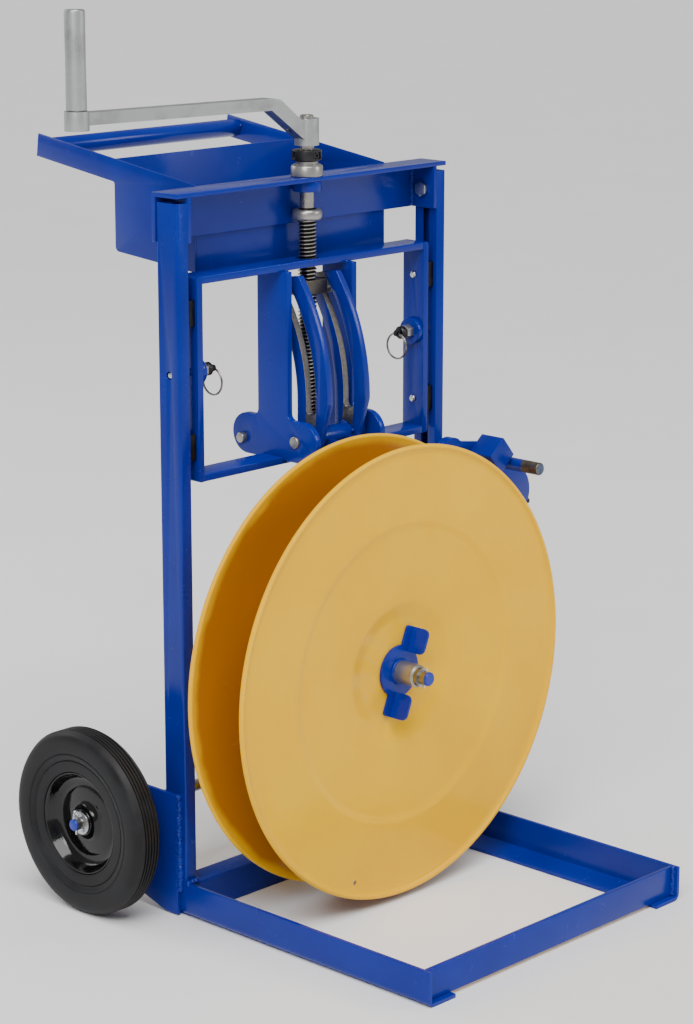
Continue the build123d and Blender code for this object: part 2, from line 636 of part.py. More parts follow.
def crank_grip():
    tube = rod_z(GRIP_DIAMETER, GRIP_Z, GRIP_Z + GRIP_LENGTH, -CRANK_RADIUS)
    tube = chamfer(tube.edges().filter_by(GeomType.CIRCLE), 1.2)
    shoulder = GRIP_Z + GRIP_LENGTH - 8 - CLEARANCE
    bore = rod_z(GRIP_PIN + 2 * RUNNING, GRIP_Z - 1, shoulder + 1, -CRANK_RADIUS)
    mouth = rod_z(GRIP_PIN + 6 + 2 * CLEARANCE, shoulder, GRIP_Z + GRIP_LENGTH + 1, -CRANK_RADIUS)
    return tube - bore - mouth


# ---- carriage -----------------------------------------------------------------------
def carriage_bar(z0):
    """A level bar of the carriage, with the screw's clearance hole."""
    half = BAR_DEPTH / 2
    bar = block(-SIDE_BAR_INNER, SIDE_BAR_INNER, -half, half, z0, z0 + BAR_THICKNESS)
    return bar - rod_z(SCREW_HOLE, z0 - 1, z0 + BAR_THICKNESS + 1)


def carriage_side_bar():
    """The left upright bar, drilled for its plunger and guide screws."""
    half = BAR_DEPTH / 2
    bar = block(-SIDE_BAR_OUTER, -SIDE_BAR_INNER, -half, half, CARRIAGE_BOTTOM, CARRIAGE_TOP)
    corners = bar.edges().filter_by(Axis.Y).group_by(Axis.X)[0]
    bar = fillet(corners, 4.0)
    bar -= rod_x(PLUNGER_PIN + 2 * CLEARANCE, -FAR, 0, 0, PLUNGER_Z)
    for z in guide_heights():
        bar -= rod_x(GUIDE_SCREW, -FAR, 0, 0, z)
    return bar


def guide_heights():
    return (CARRIAGE_BOTTOM + GUIDE_INSET, CARRIAGE_TOP - GUIDE_INSET)


def guide_block(side, z):
    """A nylon block on the side bar that slides in the post's slot."""
    x0 = SIDE_BAR_OUTER
    x1 = POST_INNER + POST_WALL + 4.0
    width = POST_SLOT - 2 * CLEARANCE
    tongue = block(x0, x1, -width / 2, width / 2, z - GUIDE_LENGTH / 2, z + GUIDE_LENGTH / 2)
    shoulder = block(x0, POST_INNER - CLEARANCE, -15, 15, z - GUIDE_LENGTH / 2, z + GUIDE_LENGTH / 2)
    piece = tongue + shoulder - rod_x(GUIDE_SCREW, 0, x1 - 2, 0, z)
    return piece if side > 0 else mirrored(piece)


def guide_screw(side, z):
    shank = rod_x(GUIDE_SCREW, SIDE_BAR_INNER, POST_INNER, 0, z)
    head = rod_x(10.0, SIDE_BAR_INNER - 3.0, SIDE_BAR_INNER, 0, z)
    head = chamfer(head.edges().filter_by(GeomType.CIRCLE).group_by(Axis.X)[0], 1.5)
    piece = shank + head
    return piece if side > 0 else mirrored(piece)


def hanger():
    """The left cam hanger: an upright plate whose foot straddles the carriage's bottom bar."""
    x0, x1 = -HANGER_OUTER, -HANGER_OUTER + HANGER_PLATE
    half = HANGER_WIDTH / 2
    stem_top = CARRIAGE_TOP - BAR_THICKNESS
    stem = block(x0, x1, -half, half, PIVOT_Z, stem_top)
    foot = block(x0, x1, -HANGER_FRONT + half, HANGER_REAR - half, PIVOT_Z - half, PIVOT_Z + half)
    foot += rod_x(HANGER_WIDTH, x0, x1, -HANGER_FRONT + half, PIVOT_Z)
    foot += rod_x(HANGER_WIDTH, x0, x1, HANGER_REAR - half, PIVOT_Z)
    plate = stem + foot
    bays = [e for e in plate.edges().filter_by(Axis.X)
            if abs(abs(e.center().Y) - half) < 0.01 and abs(e.center().Z - PIVOT_Z - half) < 0.01]
    plate = fillet(bays, 9.0) if bays else plate
    bar_half = BAR_DEPTH / 2
    plate -= block(x0 - 1, x1 + 1, -bar_half, bar_half, 0, CARRIAGE_BOTTOM + BAR_THICKNESS)
    plate -= rod_x(PIVOT_SHAFT, -FAR, 0, PIVOT_Y, PIVOT_Z)
    return plate - rod_x(STOP_PIN_DIAMETER, -FAR, 0, STOP_PIN_Y, PIVOT_Z - 7)


def stop_pin():
    """The left hanger's rear pin, riveted through the foot."""
    z = PIVOT_Z - 7
    pin = rod_x(STOP_PIN_DIAMETER, -HANGER_OUTER - 7, -HANGER_OUTER + HANGER_PLATE + 7, STOP_PIN_Y, z)
    return chamfer(pin.edges().filter_by(GeomType.CIRCLE), 1.0)


def pivot_shaft():
    reach = HANGER_OUTER + 3.0
    shaft = rod_x(PIVOT_SHAFT, -reach, reach, PIVOT_Y, PIVOT_Z)
    return chamfer(shaft.edges().filter_by(GeomType.CIRCLE), 1.0)


def plunger_boss():
    """The left welded boss that carries a plunger barrel."""
    x0 = -SIDE_BAR_INNER
    boss = rod_x(PLUNGER_BOSS, x0, x0 + PLUNGER_BOSS_LENGTH, 0, PLUNGER_Z)
    return boss - rod_x(PLUNGER_PIN + 2 * CLEARANCE, -FAR, 0, 0, PLUNGER_Z)


def plunger_barrel():
    x0 = -SIDE_BAR_INNER + PLUNGER_BOSS_LENGTH
    barrel = Pos(x0, 0, PLUNGER_Z) * Rot(0, 90, 0) * hex_head(PLUNGER_BARREL, PLUNGER_BARREL_LENGTH)
    return barrel - rod_x(PLUNGER_PIN + 2 * CLEARANCE, -FAR, 0, 0, PLUNGER_Z)


KNOB_X = SIDE_BAR_INNER - PLUNGER_BOSS_LENGTH - PLUNGER_BARREL_LENGTH - CLEARANCE
RING_HOLE_X = KNOB_X - PLUNGER_KNOB_LENGTH - PLUNGER_EYE / 2
RING_HOLE = RING_WIRE + 1.8
RING_MEAN = (RING_OUTER - RING_WIRE) / 2


def plunger_pin():
    """The left lock pin with its knob, drilled across for the pull ring."""
    nose = rod_x(PLUNGER_PIN, -HALF_WIDTH + 1.0, -KNOB_X, 0, PLUNGER_Z)
    nose = fillet(nose.edges().filter_by(GeomType.CIRCLE).group_by(Axis.X)[0], 3.0)
    knob = rod_x(PLUNGER_KNOB, -KNOB_X, -KNOB_X + PLUNGER_KNOB_LENGTH, 0, PLUNGER_Z)
    knob = chamfer(knob.edges().filter_by(GeomType.CIRCLE), 2.0)
    half = PLUNGER_TANG / 2
    tang = rod_y(PLUNGER_EYE, -half, half, -RING_HOLE_X, PLUNGER_Z)
    tang += block(-RING_HOLE_X - PLUNGER_EYE / 2 - 1, -RING_HOLE_X, -half, half,
                  PLUNGER_Z - PLUNGER_EYE / 2, PLUNGER_Z + PLUNGER_EYE / 2)
    return nose + knob + tang - rod_y(RING_HOLE, -20, 20, -RING_HOLE_X, PLUNGER_Z)


def pull_ring():
    """The left pull ring, hanging through the knob's cross hole."""
    centre = Pos(-RING_HOLE_X, 0, PLUNGER_Z - RING_MEAN)
    return centre * Rot(0, 90, 0) * Torus(RING_MEAN, RING_WIRE / 2)


# ---- tilting reel arm ---------------------------------------------------------------
def cam():
    """The left slotted cam plate, a curved arm that ends in a lobe on the pivot."""
    x0, x1 = -CAM_INNER - CAM_PLATE, -CAM_INNER
    half_slot = CAM_SLOT_WIDTH / 2
    outer = CAM_SLOT_RADIUS + half_slot + CAM_FRONT_STRIP
    inner = CAM_SLOT_RADIUS - half_slot - CAM_REAR_STRIP
    ring = rod_x(2 * outer, x0, x1, CAM_CENTRE_Y, CAM_CENTRE_Z)
    ring -= rod_x(2 * inner, x0 - 1, x1 + 1, CAM_CENTRE_Y, CAM_CENTRE_Z)
    end = SLOT_TOP_ANGLE + (half_slot + CAM_SLOT_END_WALL) / CAM_SLOT_RADIUS
    far = 2 * outer
    centre = (CAM_CENTRE_Y, CAM_CENTRE_Z)
    upper = (CAM_CENTRE_Y - far * math.cos(end), CAM_CENTRE_Z + far * math.sin(end))
    sector = plate_yz([centre, upper, (CAM_CENTRE_Y - far, CAM_CENTRE_Z)], x0, x1)
    band = ring & sector
    band &= rod_x(2 * CAM_TIP_RADIUS, x0, x1, PIVOT_Y, PIVOT_Z)
    foot = plate_yz([(CAM_CENTRE_Y - outer, CAM_CENTRE_Z), (PIVOT_Y - PIVOT_LOBE, PIVOT_Z),
                     (PIVOT_Y + PIVOT_LOBE, PIVOT_Z), (CAM_CENTRE_Y - inner, CAM_CENTRE_Z)], x0, x1)
    plate = band + foot + rod_x(2 * PIVOT_LOBE, x0, x1, PIVOT_Y, PIVOT_Z)
    plate -= rod_x(PIVOT_TUBE, x0 - 1, x1 + 1, PIVOT_Y, PIVOT_Z)
    tip = plate.edges().filter_by(Axis.X).group_by(Axis.Y)[-1]
    plate = fillet(tip, 9.0)
    return plate - cam_slot(x0 - 1, x1 + 1)


def cam_slot(x0, x1):
    """The trunnions' arc slot, round at both ends."""
    half = CAM_SLOT_WIDTH / 2
    ring = rod_x(2 * (CAM_SLOT_RADIUS + half), x0, x1, CAM_CENTRE_Y, CAM_CENTRE_Z)
    ring -= rod_x(2 * (CAM_SLOT_RADIUS - half), x0 - 1, x1 + 1, CAM_CENTRE_Y, CAM_CENTRE_Z)
    far = 2 * CAM_SLOT_RADIUS
    ends = [(CAM_CENTRE_Y - far * math.cos(a), CAM_CENTRE_Z + far * math.sin(a))
            for a in (SLOT_TOP_ANGLE, SLOT_LOW_ANGLE)]
    slot = ring & plate_yz([(CAM_CENTRE_Y, CAM_CENTRE_Z)] + ends, x0, x1)
    for angle in (SLOT_TOP_ANGLE, SLOT_LOW_ANGLE):
        y, z = slot_point(angle)
        slot += rod_x(CAM_SLOT_WIDTH, x0, x1, y, z)
    return slot


def pivot_tube():
    """The cross tube that joins the cams and turns on the pivot shaft."""
    reach = HANGER_OUTER - HANGER_PLATE - CLEARANCE
    tube = rod_x(PIVOT_TUBE, -reach, reach, PIVOT_Y, PIVOT_Z)
    return tube - rod_x(PIVOT_SHAFT + 2 * RUNNING, -FAR, FAR, PIVOT_Y, PIVOT_Z)


ARM_FRONT_Y = REEL_REAR_RIM_Y + 10.0
ARM_BACK_Y = ARM_FRONT_Y + ARM_TUBE


def reel_arm():
    """The square tube from the pivot tube down to the spindle."""
    half = ARM_TUBE / 2
    z0, z1 = REEL_Z - 40, PIVOT_Z
    tube = block(-half, half, ARM_FRONT_Y, ARM_BACK_Y, z0, z1)
    wall = ARM_TUBE_WALL
    tube -= block(-half + wall, half - wall, ARM_FRONT_Y + wall, ARM_BACK_Y - wall, z0 - 1, z1 + 1)
    tube -= rod_x(PIVOT_TUBE, -half - 1, half + 1, PIVOT_Y, PIVOT_Z)
    return tube - rod_y(SPINDLE_DIAMETER, ARM_FRONT_Y - 1, ARM_BACK_Y + 1, 0, REEL_Z)


def spindle():
    """The reel's shaft, with the shoulder that the rear flange turns against."""
    rod = rod_y(SPINDLE_DIAMETER, SPINDLE_TIP_Y, ARM_BACK_Y + 4, 0, REEL_Z)
    rod = chamfer(rod.edges().filter_by(GeomType.CIRCLE), 1.5)
    hub_face = REEL_REAR_RIM_Y - HUB_PRESS_DEPTH + CLEARANCE
    return rod + rod_y(SHOULDER_DIAMETER, hub_face, ARM_FRONT_Y, 0, REEL_Z)


def lever_bearer():
    """The flat arm from the reel arm to the lever's pivot."""
    y0, y1 = LEVER_BACK_Y + CLEARANCE, LEVER_BACK_Y + CLEARANCE + LEVER_BEARER_PLATE
    root_x, root_z = ARM_TUBE / 2, REEL_Z + LEVER_ROOT_RISE
    dx, dz = LEVER_PIVOT_X - root_x, LEVER_PIVOT_Z - root_z
    length = math.hypot(dx, dz)
    nx, nz = -dz / length * 18.0, dx / length * 18.0
    outline = [(root_x, root_z - 22), (root_x, root_z + 22),
               (LEVER_PIVOT_X + nx, LEVER_PIVOT_Z + nz), (LEVER_PIVOT_X - nx, LEVER_PIVOT_Z - nz)]
    plate = plate_xz(outline, y0, y1)
    plate += rod_y(2 * LEVER_EYE_RADIUS, y0, y1, LEVER_PIVOT_X, LEVER_PIVOT_Z)
    return plate - rod_y(LEVER_PIN, -FAR, 0, LEVER_PIVOT_X, LEVER_PIVOT_Z)


def lever_pin():
    y1 = LEVER_BACK_Y + CLEARANCE + LEVER_BEARER_PLATE + 4
    pin = rod_y(LEVER_PIN, LEVER_FRONT_Y - 2, y1, LEVER_PIVOT_X, LEVER_PIVOT_Z)
    return chamfer(pin.edges().filter_by(GeomType.CIRCLE), 0.8)


# ---- trunnions and nut --------------------------------------------------------------
ROLLER_DIAMETER = CAM_SLOT_WIDTH - 2 * CLEARANCE


def lift_nut():
    """The steel nut block on the screw."""
    half_x, half_y, half_z = NUT_WIDTH / 2, NUT_DEPTH / 2, NUT_HEIGHT / 2
    nut = block(-half_x, half_x, -half_y, half_y, NUT_TOP_Z - half_z, NUT_TOP_Z + half_z)
    nut = chamfer(nut.edges(), 1.0)
    return nut - rod_z(SCREW_DIAMETER + 2 * RUNNING, 0, 2 * FRAME_TOP)


def trunnion(side):
    """A stub with its roller in the cam's slot and a washer outside the cam."""
    y, z = slot_point(SLOT_TOP_ANGLE)
    x0 = NUT_WIDTH / 2 + CLEARANCE
    cam_out = CAM_INNER + CAM_PLATE
    stub = rod_x(12.0, x0, cam_out + 7, y, z)
    roller = rod_x(ROLLER_DIAMETER, CAM_INNER - 2, cam_out + 1, y, z)
    washer = rod_x(26.0, cam_out + CLEARANCE, cam_out + CLEARANCE + 2.5, y, z)
    piece = stub + roller + washer
    return piece if side > 0 else mirrored(piece)


# ---- reel ---------------------------------------------------------------------------
def flange(face_sign, rim_y):
    """A pressed flange with a rolled rim. face_sign is +1 where its outside faces back."""
    r = REEL_DIAMETER / 2
    bead = RIM_BEAD / 2
    t = FLANGE_SHEET
    ring_r, hub_r = RING_PRESS_DIAMETER / 2, HUB_PRESS_DIAMETER / 2
    bore = SPINDLE_DIAMETER / 2 + RUNNING
    step, dip = RING_PRESS_DEPTH, HUB_PRESS_DEPTH
    # (radius, offset outwards from the rim's plane) along the sheet's outer face
    slope = RING_PRESS_SLOPE
    outer = [(bore, -dip), (hub_r - HUB_PRESS_SLOPE, -dip), (hub_r, -CONE_DEPTH),
             (ring_r - slope, -step), (ring_r + slope, 0), (r - bead, 0)]
    inner = [(radius, offset - t) for radius, offset in reversed(outer)]
    face = make_face(Polyline(*(outer + inner), close=True))
    sheet = revolve(Plane.XZ * face, Axis.Z)
    rolled = Pos(0, 0, -t / 2) * Torus(r - bead, bead)
    disc = sheet + rolled
    hole = Pos(0, -(r - RIM_HOLE_INSET), 0) * Cylinder(RIM_HOLE / 2, 40)
    disc -= Rot(0, 0, RIM_HOLE_ANGLE * face_sign) * hole
    turned = Rot(90 if face_sign < 0 else -90, 0, 0) * disc
    return Pos(0, rim_y, REEL_Z) * turned



def reel_core():
    """The drum between the flanges that the coil slides onto."""
    inset = RING_PRESS_DEPTH + FLANGE_SHEET + CLEARANCE
    y0, y1 = REEL_FRONT_RIM_Y + inset, REEL_REAR_RIM_Y - inset
    drum = rod_y(REEL_CORE, y0, y1, 0, REEL_Z)
    return drum - rod_y(REEL_CORE - 2 * CORE_WALL, y0 - 1, y1 + 1, 0, REEL_Z)


def reel_hub():
    """The bearing tube that turns on the spindle."""
    t = FLANGE_SHEET
    y0 = REEL_FRONT_RIM_Y + HUB_PRESS_DEPTH + t
    y1 = REEL_REAR_RIM_Y - HUB_PRESS_DEPTH - t
    tube = rod_y(REEL_HUB, y0, y1, 0, REEL_Z)
    return tube - rod_y(SPINDLE_DIAMETER + 2 * RUNNING, y0 - 1, y1 + 1, 0, REEL_Z)


# ---- wing nut -----------------------------------------------------------------------
WING_BACK_Y = REEL_FRONT_RIM_Y + HUB_PRESS_DEPTH - CLEARANCE
WING_FRONT_Y = WING_BACK_Y - WING_PLATE


def wing_plate():
    """A round plate with two wings, each with a finger flange standing forwards."""
    half = WING_SPAN / 2
    disc = rod_y(WING_DISC, WING_FRONT_Y, WING_BACK_Y, 0, REEL_Z)
    strip = block(-WING_STRIP / 2, WING_STRIP / 2, WING_FRONT_Y, WING_BACK_Y,
                  REEL_Z - half, REEL_Z + half)
    strip = fillet(strip.edges().filter_by(Axis.Y), 5.0)
    plate = disc + strip
    for sign in (-1, 1):
        x1 = WING_STRIP / 2
        z0, z1 = sorted((REEL_Z + sign * (WING_DISC / 2 - 8), REEL_Z + sign * half))
        wing = block(x1 - WING_PLATE, x1, WING_FRONT_Y - WING_FLANGE, WING_BACK_Y, z0, z1)
        front = wing.edges().filter_by(Axis.X).group_by(Axis.Y)[0]
        plate += fillet(front, 9.0)
    plate -= rod_y(SPINDLE_DIAMETER + 2 * RUNNING, -FAR, 0, 0, REEL_Z)
    return Pos(0, 0, REEL_Z) * Rot(0, WING_LEAN, 0) * Pos(0, 0, -REEL_Z) * plate


def wing_sleeve():
    """The threaded sleeve welded in the wing plate."""
    y1 = WING_FRONT_Y
    sleeve = rod_y(SLEEVE_DIAMETER, y1 - SLEEVE_LENGTH + 4, y1, 0, REEL_Z)
    front = sleeve.edges().filter_by(GeomType.CIRCLE).group_by(Axis.Y)[0]
    sleeve = chamfer(front, 2.5)
    return sleeve - rod_y(SPINDLE_DIAMETER + 2 * RUNNING, -FAR, 0, 0, REEL_Z)


def spindle_clip():
    """A snap ring near the spindle's tip that keeps the wing nut on."""
    y1 = WING_FRONT_Y - SLEEVE_LENGTH + 4 - CLEARANCE
    ring = rod_y(CLIP_DIAMETER, y1 - CLIP_LENGTH, y1, 0, REEL_Z)
    return ring - rod_y(SPINDLE_DIAMETER, -FAR, 0, 0, REEL_Z)


# ---- strap guide lever --------------------------------------------------------------
def guide_lever():
    """A bent flat lever: eye on its pin, a neck under the block, and a round outer lobe."""
    y0, y1 = LEVER_FRONT_Y, LEVER_BACK_Y
    neck_x, neck_z = LEVER_NECK_X, LEVER_NECK_Z
    plate = rod_y(2 * LEVER_EYE_RADIUS, y0, y1, LEVER_PIVOT_X, LEVER_PIVOT_Z)
    plate += flat_link(LEVER_PIVOT_X, LEVER_PIVOT_Z, neck_x, neck_z, 17.0, y0, y1)
    plate += rod_y(2 * LEVER_NECK_RADIUS, y0, y1, neck_x, neck_z)
    plate += flat_link(neck_x, neck_z, LEVER_LOBE_X, LEVER_LOBE_Z, 20.0, y0, y1)
    plate += rod_y(2 * LEVER_LOBE_RADIUS, y0, y1, LEVER_LOBE_X, LEVER_LOBE_Z)
    plate -= rod_y(LEVER_PIN + 2 * RUNNING, -FAR, 0, LEVER_PIVOT_X, LEVER_PIVOT_Z)
    return plate - rod_y(ROD_DIAMETER, -FAR, 0, ROD_X, ROD_Z)


def flat_link(xa, za, xb, zb, half, y0, y1):
    """A straight strip between two points of a plate."""
    dx, dz = xb - xa, zb - za
    length = math.hypot(dx, dz)
    nx, nz = -dz / length * half, dx / length * half
    outline = [(xa + nx, za + nz), (xb + nx, zb + nz), (xb - nx, zb - nz), (xa - nx, za - nz)]
    return plate_xz(outline, y0, y1)


def guide_block_square():
    """A square block on the lever's face, turned so that a corner stands up as a ridge."""
    half = BLOCK_SIDE / 2
    y1 = LEVER_FRONT_Y
    turn = math.radians(BLOCK_TURN)
    cx = BLOCK_RIDGE_X - half * math.cos(turn) + half * math.sin(turn)
    cz = BLOCK_RIDGE_Z - half * math.sin(turn) - half * math.cos(turn)
    body = Box(BLOCK_SIDE, BLOCK_LENGTH, BLOCK_SIDE)
    body = fillet(body.edges().filter_by(Axis.Y), 1.5)
    piece = Pos(cx, y1 - BLOCK_LENGTH / 2, cz) * Rot(0, -BLOCK_TURN, 0) * body
    return piece - rod_y(ROD_DIAMETER, -FAR, 0, ROD_X, ROD_Z)


def guide_rod():
    rod = rod_y(ROD_DIAMETER, ROD_TIP_Y, LEVER_BACK_Y, ROD_X, ROD_Z)
    return chamfer(rod.edges().filter_by(GeomType.CIRCLE), 1.5)


def lobe_screw():
    """A small black screw at the lobe's outer edge."""
    x = LEVER_LOBE_X + LEVER_LOBE_RADIUS * 0.86
    z = LEVER_LOBE_Z - LEVER_LOBE_RADIUS * 0.45
    head = rod_x(LOBE_SCREW, x, x + 7.0, (LEVER_FRONT_Y + LEVER_BACK_Y) / 2, z)
    return chamfer(head.edges().filter_by(GeomType.CIRCLE).group_by(Axis.X)[-1], 1.0)


# ---- all nodes ----------------------------------------------------------------------
def pair(shape):
    """The left piece and its mirror image, as the two solids of one node."""
    return group(shape, mirrored(shape))


def build():
    save("left_post", post())
    save("right_post", mirrored(post()))
    save("left_rail", rail())
    save("right_rail", mirrored(rail()))
    save("front_bar", front_bar())
    save("rear_bar", rear_bar())
    save("left_axle_plate", axle_plate())
    save("right_axle_plate", mirrored(axle_plate()))
    save("axle", axle())
    washers = [make(side) for make in (axle_spacer, axle_washer) for side, _ in SIDES]
    save("axle_washers", group(*washers))
    save("cotter_pins", group(*[cotter_pin(side) for side, _ in SIDES]))
    for side, word in SIDES:
        save(f"{word}_tyre", tyre(side))
        save(f"{word}_rim", rim(side))
        save(f"{word}_tray_side", tray_side(side))
    save("tray_pan", tray_pan())
    save("tray_handle", tray_handle())
    save("crossbar", crossbar())
    save("crossbar_end_plates", group(*[end_plate(side) for side, _ in SIDES]))
    save("crossbar_bolts", group(pair(top_bolt()), pair(channel_nut())))
    save("screw_boss", screw_boss())
    save("thrust_bearing", thrust_bearing())
    save("lead_screw", lead_screw())
    save("screw_collar", screw_collar())
    save("collar_set_screw", collar_set_screw())
    save("stop_ring", stop_ring())
    save("crank_arm", crank_arm())
    save("crank_roll_pin", roll_pin())
    save("grip_pin", grip_pin())
    save("crank_grip", crank_grip())
    save("carriage_top_bar", carriage_bar(CARRIAGE_TOP - BAR_THICKNESS))
    save("carriage_bottom_bar", carriage_bar(CARRIAGE_BOTTOM))
    save("carriage_side_bars", pair(carriage_side_bar()))
    corners = [(side, z) for side, _ in SIDES for z in guide_heights()]
    save("guide_blocks", group(*[guide_block(side, z) for side, z in corners]))
    save("guide_screws", group(*[guide_screw(side, z) for side, z in corners]))
    save("left_hanger", hanger())
    save("right_hanger", mirrored(hanger()))
    save("hanger_stop_pins", pair(stop_pin()))
    save("pivot_shaft", pivot_shaft())
    save("plunger_bosses", pair(plunger_boss()))
    save("plunger_barrels", pair(plunger_barrel()))
    save("left_plunger", plunger_pin())
    save("right_plunger", mirrored(plunger_pin()))
    save("left_pull_ring", pull_ring())
    save("right_pull_ring", mirrored(pull_ring()))
    save("lift_nut", lift_nut())
    save("trunnions", group(*[trunnion(side) for side, _ in SIDES]))
    save("left_cam", cam())
    save("right_cam", mirrored(cam()))
    save("pivot_tube", pivot_tube())
    save("reel_arm", reel_arm())
    save("spindle", group(spindle(), spindle_clip()))
    save("lever_bearer", group(lever_bearer(), lever_pin()))
    save("rear_flange", flange(1, REEL_REAR_RIM_Y))
    save("front_flange", flange(-1, REEL_FRONT_RIM_Y))
    save("reel_core", group(reel_core(), reel_hub()))
    save("wing_nut", group(wing_plate(), wing_sleeve()))
    save("guide_lever", group(guide_lever(), guide_block_square(), guide_rod(), lobe_screw()))


build()
print("nut", round(NUT_TOP_Z, 3), "to", round(NUT_LOW_Z, 3))
print("slot angles", round(math.degrees(SLOT_TOP_ANGLE), 3), round(math.degrees(SLOT_LOW_ANGLE), 3))
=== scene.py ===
import json
import math

import bpy
from mathutils import Matrix, Vector


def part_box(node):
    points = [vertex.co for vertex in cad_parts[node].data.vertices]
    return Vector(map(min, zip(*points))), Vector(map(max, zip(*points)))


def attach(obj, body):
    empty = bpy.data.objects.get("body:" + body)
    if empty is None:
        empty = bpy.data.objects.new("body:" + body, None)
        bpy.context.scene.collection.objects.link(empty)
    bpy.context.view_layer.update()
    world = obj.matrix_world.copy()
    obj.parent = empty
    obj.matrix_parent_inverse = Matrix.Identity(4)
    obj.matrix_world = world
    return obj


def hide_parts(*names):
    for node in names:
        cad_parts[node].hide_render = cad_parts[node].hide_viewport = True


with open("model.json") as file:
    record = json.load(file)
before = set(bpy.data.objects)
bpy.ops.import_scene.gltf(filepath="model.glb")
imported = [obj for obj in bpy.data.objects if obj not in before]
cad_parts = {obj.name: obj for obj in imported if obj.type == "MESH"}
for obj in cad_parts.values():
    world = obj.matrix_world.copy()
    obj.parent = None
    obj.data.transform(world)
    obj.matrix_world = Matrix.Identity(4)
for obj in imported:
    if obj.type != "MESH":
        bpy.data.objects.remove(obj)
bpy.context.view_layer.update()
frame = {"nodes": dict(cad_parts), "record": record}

MM = 0.001
NODE_BODY = {node: body for body, nodes in frame["record"]["behaviour"]["bodies"].items()
             for node in nodes}
SIDES = ((-1, "left"), (1, "right"))


# ---- places and sizes ---------------------------------------------------------------
def middle(node):
    low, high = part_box(node)
    return [(a + b) / 2 for a, b in zip(low, high)]


REEL_X, _, REEL_Z = middle("reel_core")
# The curved plates: their arc's centre, their inner rim's radius, and their slot's two radii.
ARC_Y, ARC_Z = 0.209, middle("pivot_tube")[2] + 0.050
CAM_INNER, SLOT_INNER, SLOT_OUTER = 0.2305, 0.2464, 0.2657
# The guide lever's rod, which stands out of the front of its block.
ROD_X, ROD_Z, ROD_REACH = 0.300, 0.548, 0.0096
LEVER_BLOCK_FRONT = -0.117
ROD_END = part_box("guide_lever")[0][1]
# The lead screw: its pitch, its radii, and where its thread ends.
THREAD_PITCH, THREAD_ROOT, THREAD_CREST, THREAD_TOP = 0.00508, 0.01015, 0.0127, 0.930
# How far from the wheel's axis the road dust begins on the tread.
TREAD_DUST = 0.1245


# ---- shader maths ------------------------------------------------------------------
class Value:
    """A shader socket that can stand in an expression. Numbers alone stay Python's work."""

    def __init__(self, paint, socket):
        self.paint, self.socket = paint, socket

    def _math(self, operation, first, second):
        node = self.paint.node("ShaderNodeMath", {"operation": operation}, {0: first, 1: second})
        return Value(self.paint, node.outputs[0])

    def __add__(self, other):
        return self._math("ADD", self, other)

    def __sub__(self, other):
        return self._math("SUBTRACT", self, other)

    def __rsub__(self, other):
        return self._math("SUBTRACT", other, self)

    def __mul__(self, other):
        return self._math("MULTIPLY", self, other)

    def __gt__(self, other):
        return self._math("GREATER_THAN", self, other)

    def __lt__(self, other):
        return self._math("LESS_THAN", self, other)

    def at_most(self, other):
        return self._math("MINIMUM", self, other)

    def power(self, other):
        return self._math("POWER", self, other)

    def sine(self):
        return self._math("SINE", self, 0.0)

    def size(self):
        return self._math("ABSOLUTE", self, 0.0)

    __radd__ = __add__
    __rmul__ = __mul__


class Paint:
    """A material being mixed: its shader, its place on the object, and its other nodes."""

    def __init__(self, name, **constants):
        self.material = bpy.data.materials.new(name)
        self.material.use_nodes = True
        self.tree = self.material.node_tree
        self.shader = self.tree.nodes["Principled BSDF"]
        for socket, value in constants.items():
            self.shader.inputs[socket.replace("_", " ")].default_value = value
        self.place = self.node("ShaderNodeTexCoord", {}, {}).outputs["Object"]
        split = self.node("ShaderNodeSeparateXYZ", {}, {0: self.place})
        self.x, self.y, self.z = [Value(self, split.outputs[i]) for i in range(3)]

    def node(self, kind, settings, inputs):
        node = self.tree.nodes.new(kind)
        for key, value in settings.items():
            setattr(node, key, value)
        for key, value in inputs.items():
            if isinstance(value, Value):
                value = value.socket
            if isinstance(value, bpy.types.NodeSocket):
                self.tree.links.new(value, node.inputs[key])
            else:
                node.inputs[key].default_value = value
        return node

    def turning_lines(self):
        """The place drawn out level, so that noise on it lies as a lathe's lines do."""
        mapping = self.node("ShaderNodeMapping", {}, {"Vector": self.place,
                                                      "Scale": (0.03, 0.03, 1.0)})
        return mapping.outputs[0]

    def noise(self, scale, detail=3.0, rough=0.55, where=None):
        where = self.place if where is None else where
        node = self.node("ShaderNodeTexNoise", {}, {"Vector": where, "Scale": scale,
                                                    "Detail": detail, "Roughness": rough})
        return Value(self, node.outputs[0])

    def cells(self, scale):
        node = self.node("ShaderNodeTexVoronoi", {}, {"Vector": self.place, "Scale": scale})
        return Value(self, node.outputs["Distance"])

    def between(self, value, low, high):
        """0 below low, 1 above high, smooth in between."""
        node = self.node("ShaderNodeMapRange", {"interpolation_type": "SMOOTHSTEP"},
                         {0: value, 1: low, 2: high, 3: 0.0, 4: 1.0})
        return Value(self, node.outputs[0])

    def blend(self, factor, first, second):
        node = self.node("ShaderNodeMix", {"data_type": "RGBA"}, {0: factor, 6: first, 7: second})
        return node.outputs[2]

    def angle(self, up, across):
        """The angle of a point about a line, from two of its offsets, in radians."""
        node = self.node("ShaderNodeMath", {"operation": "ARCTAN2"}, {0: up, 1: across})
        return Value(self, node.outputs[0])

    def reach(self, across, up):
        """The distance of a point from a line, from two of its offsets."""
        return (across * across + up * up).power(0.5)

    def feed(self, socket, value):
        source = value.socket if isinstance(value, Value) else value
        self.tree.links.new(source, self.shader.inputs[socket])

    def bump(self, height, depth, strength=1.0):
        node = self.node("ShaderNodeBump", {}, {"Height": height, "Distance": depth,
                                                "Strength": strength})
        self.tree.links.new(node.outputs[0], self.shader.inputs["Normal"])


def rgb(red, green, blue):
    return (red, green, blue, 1.0)


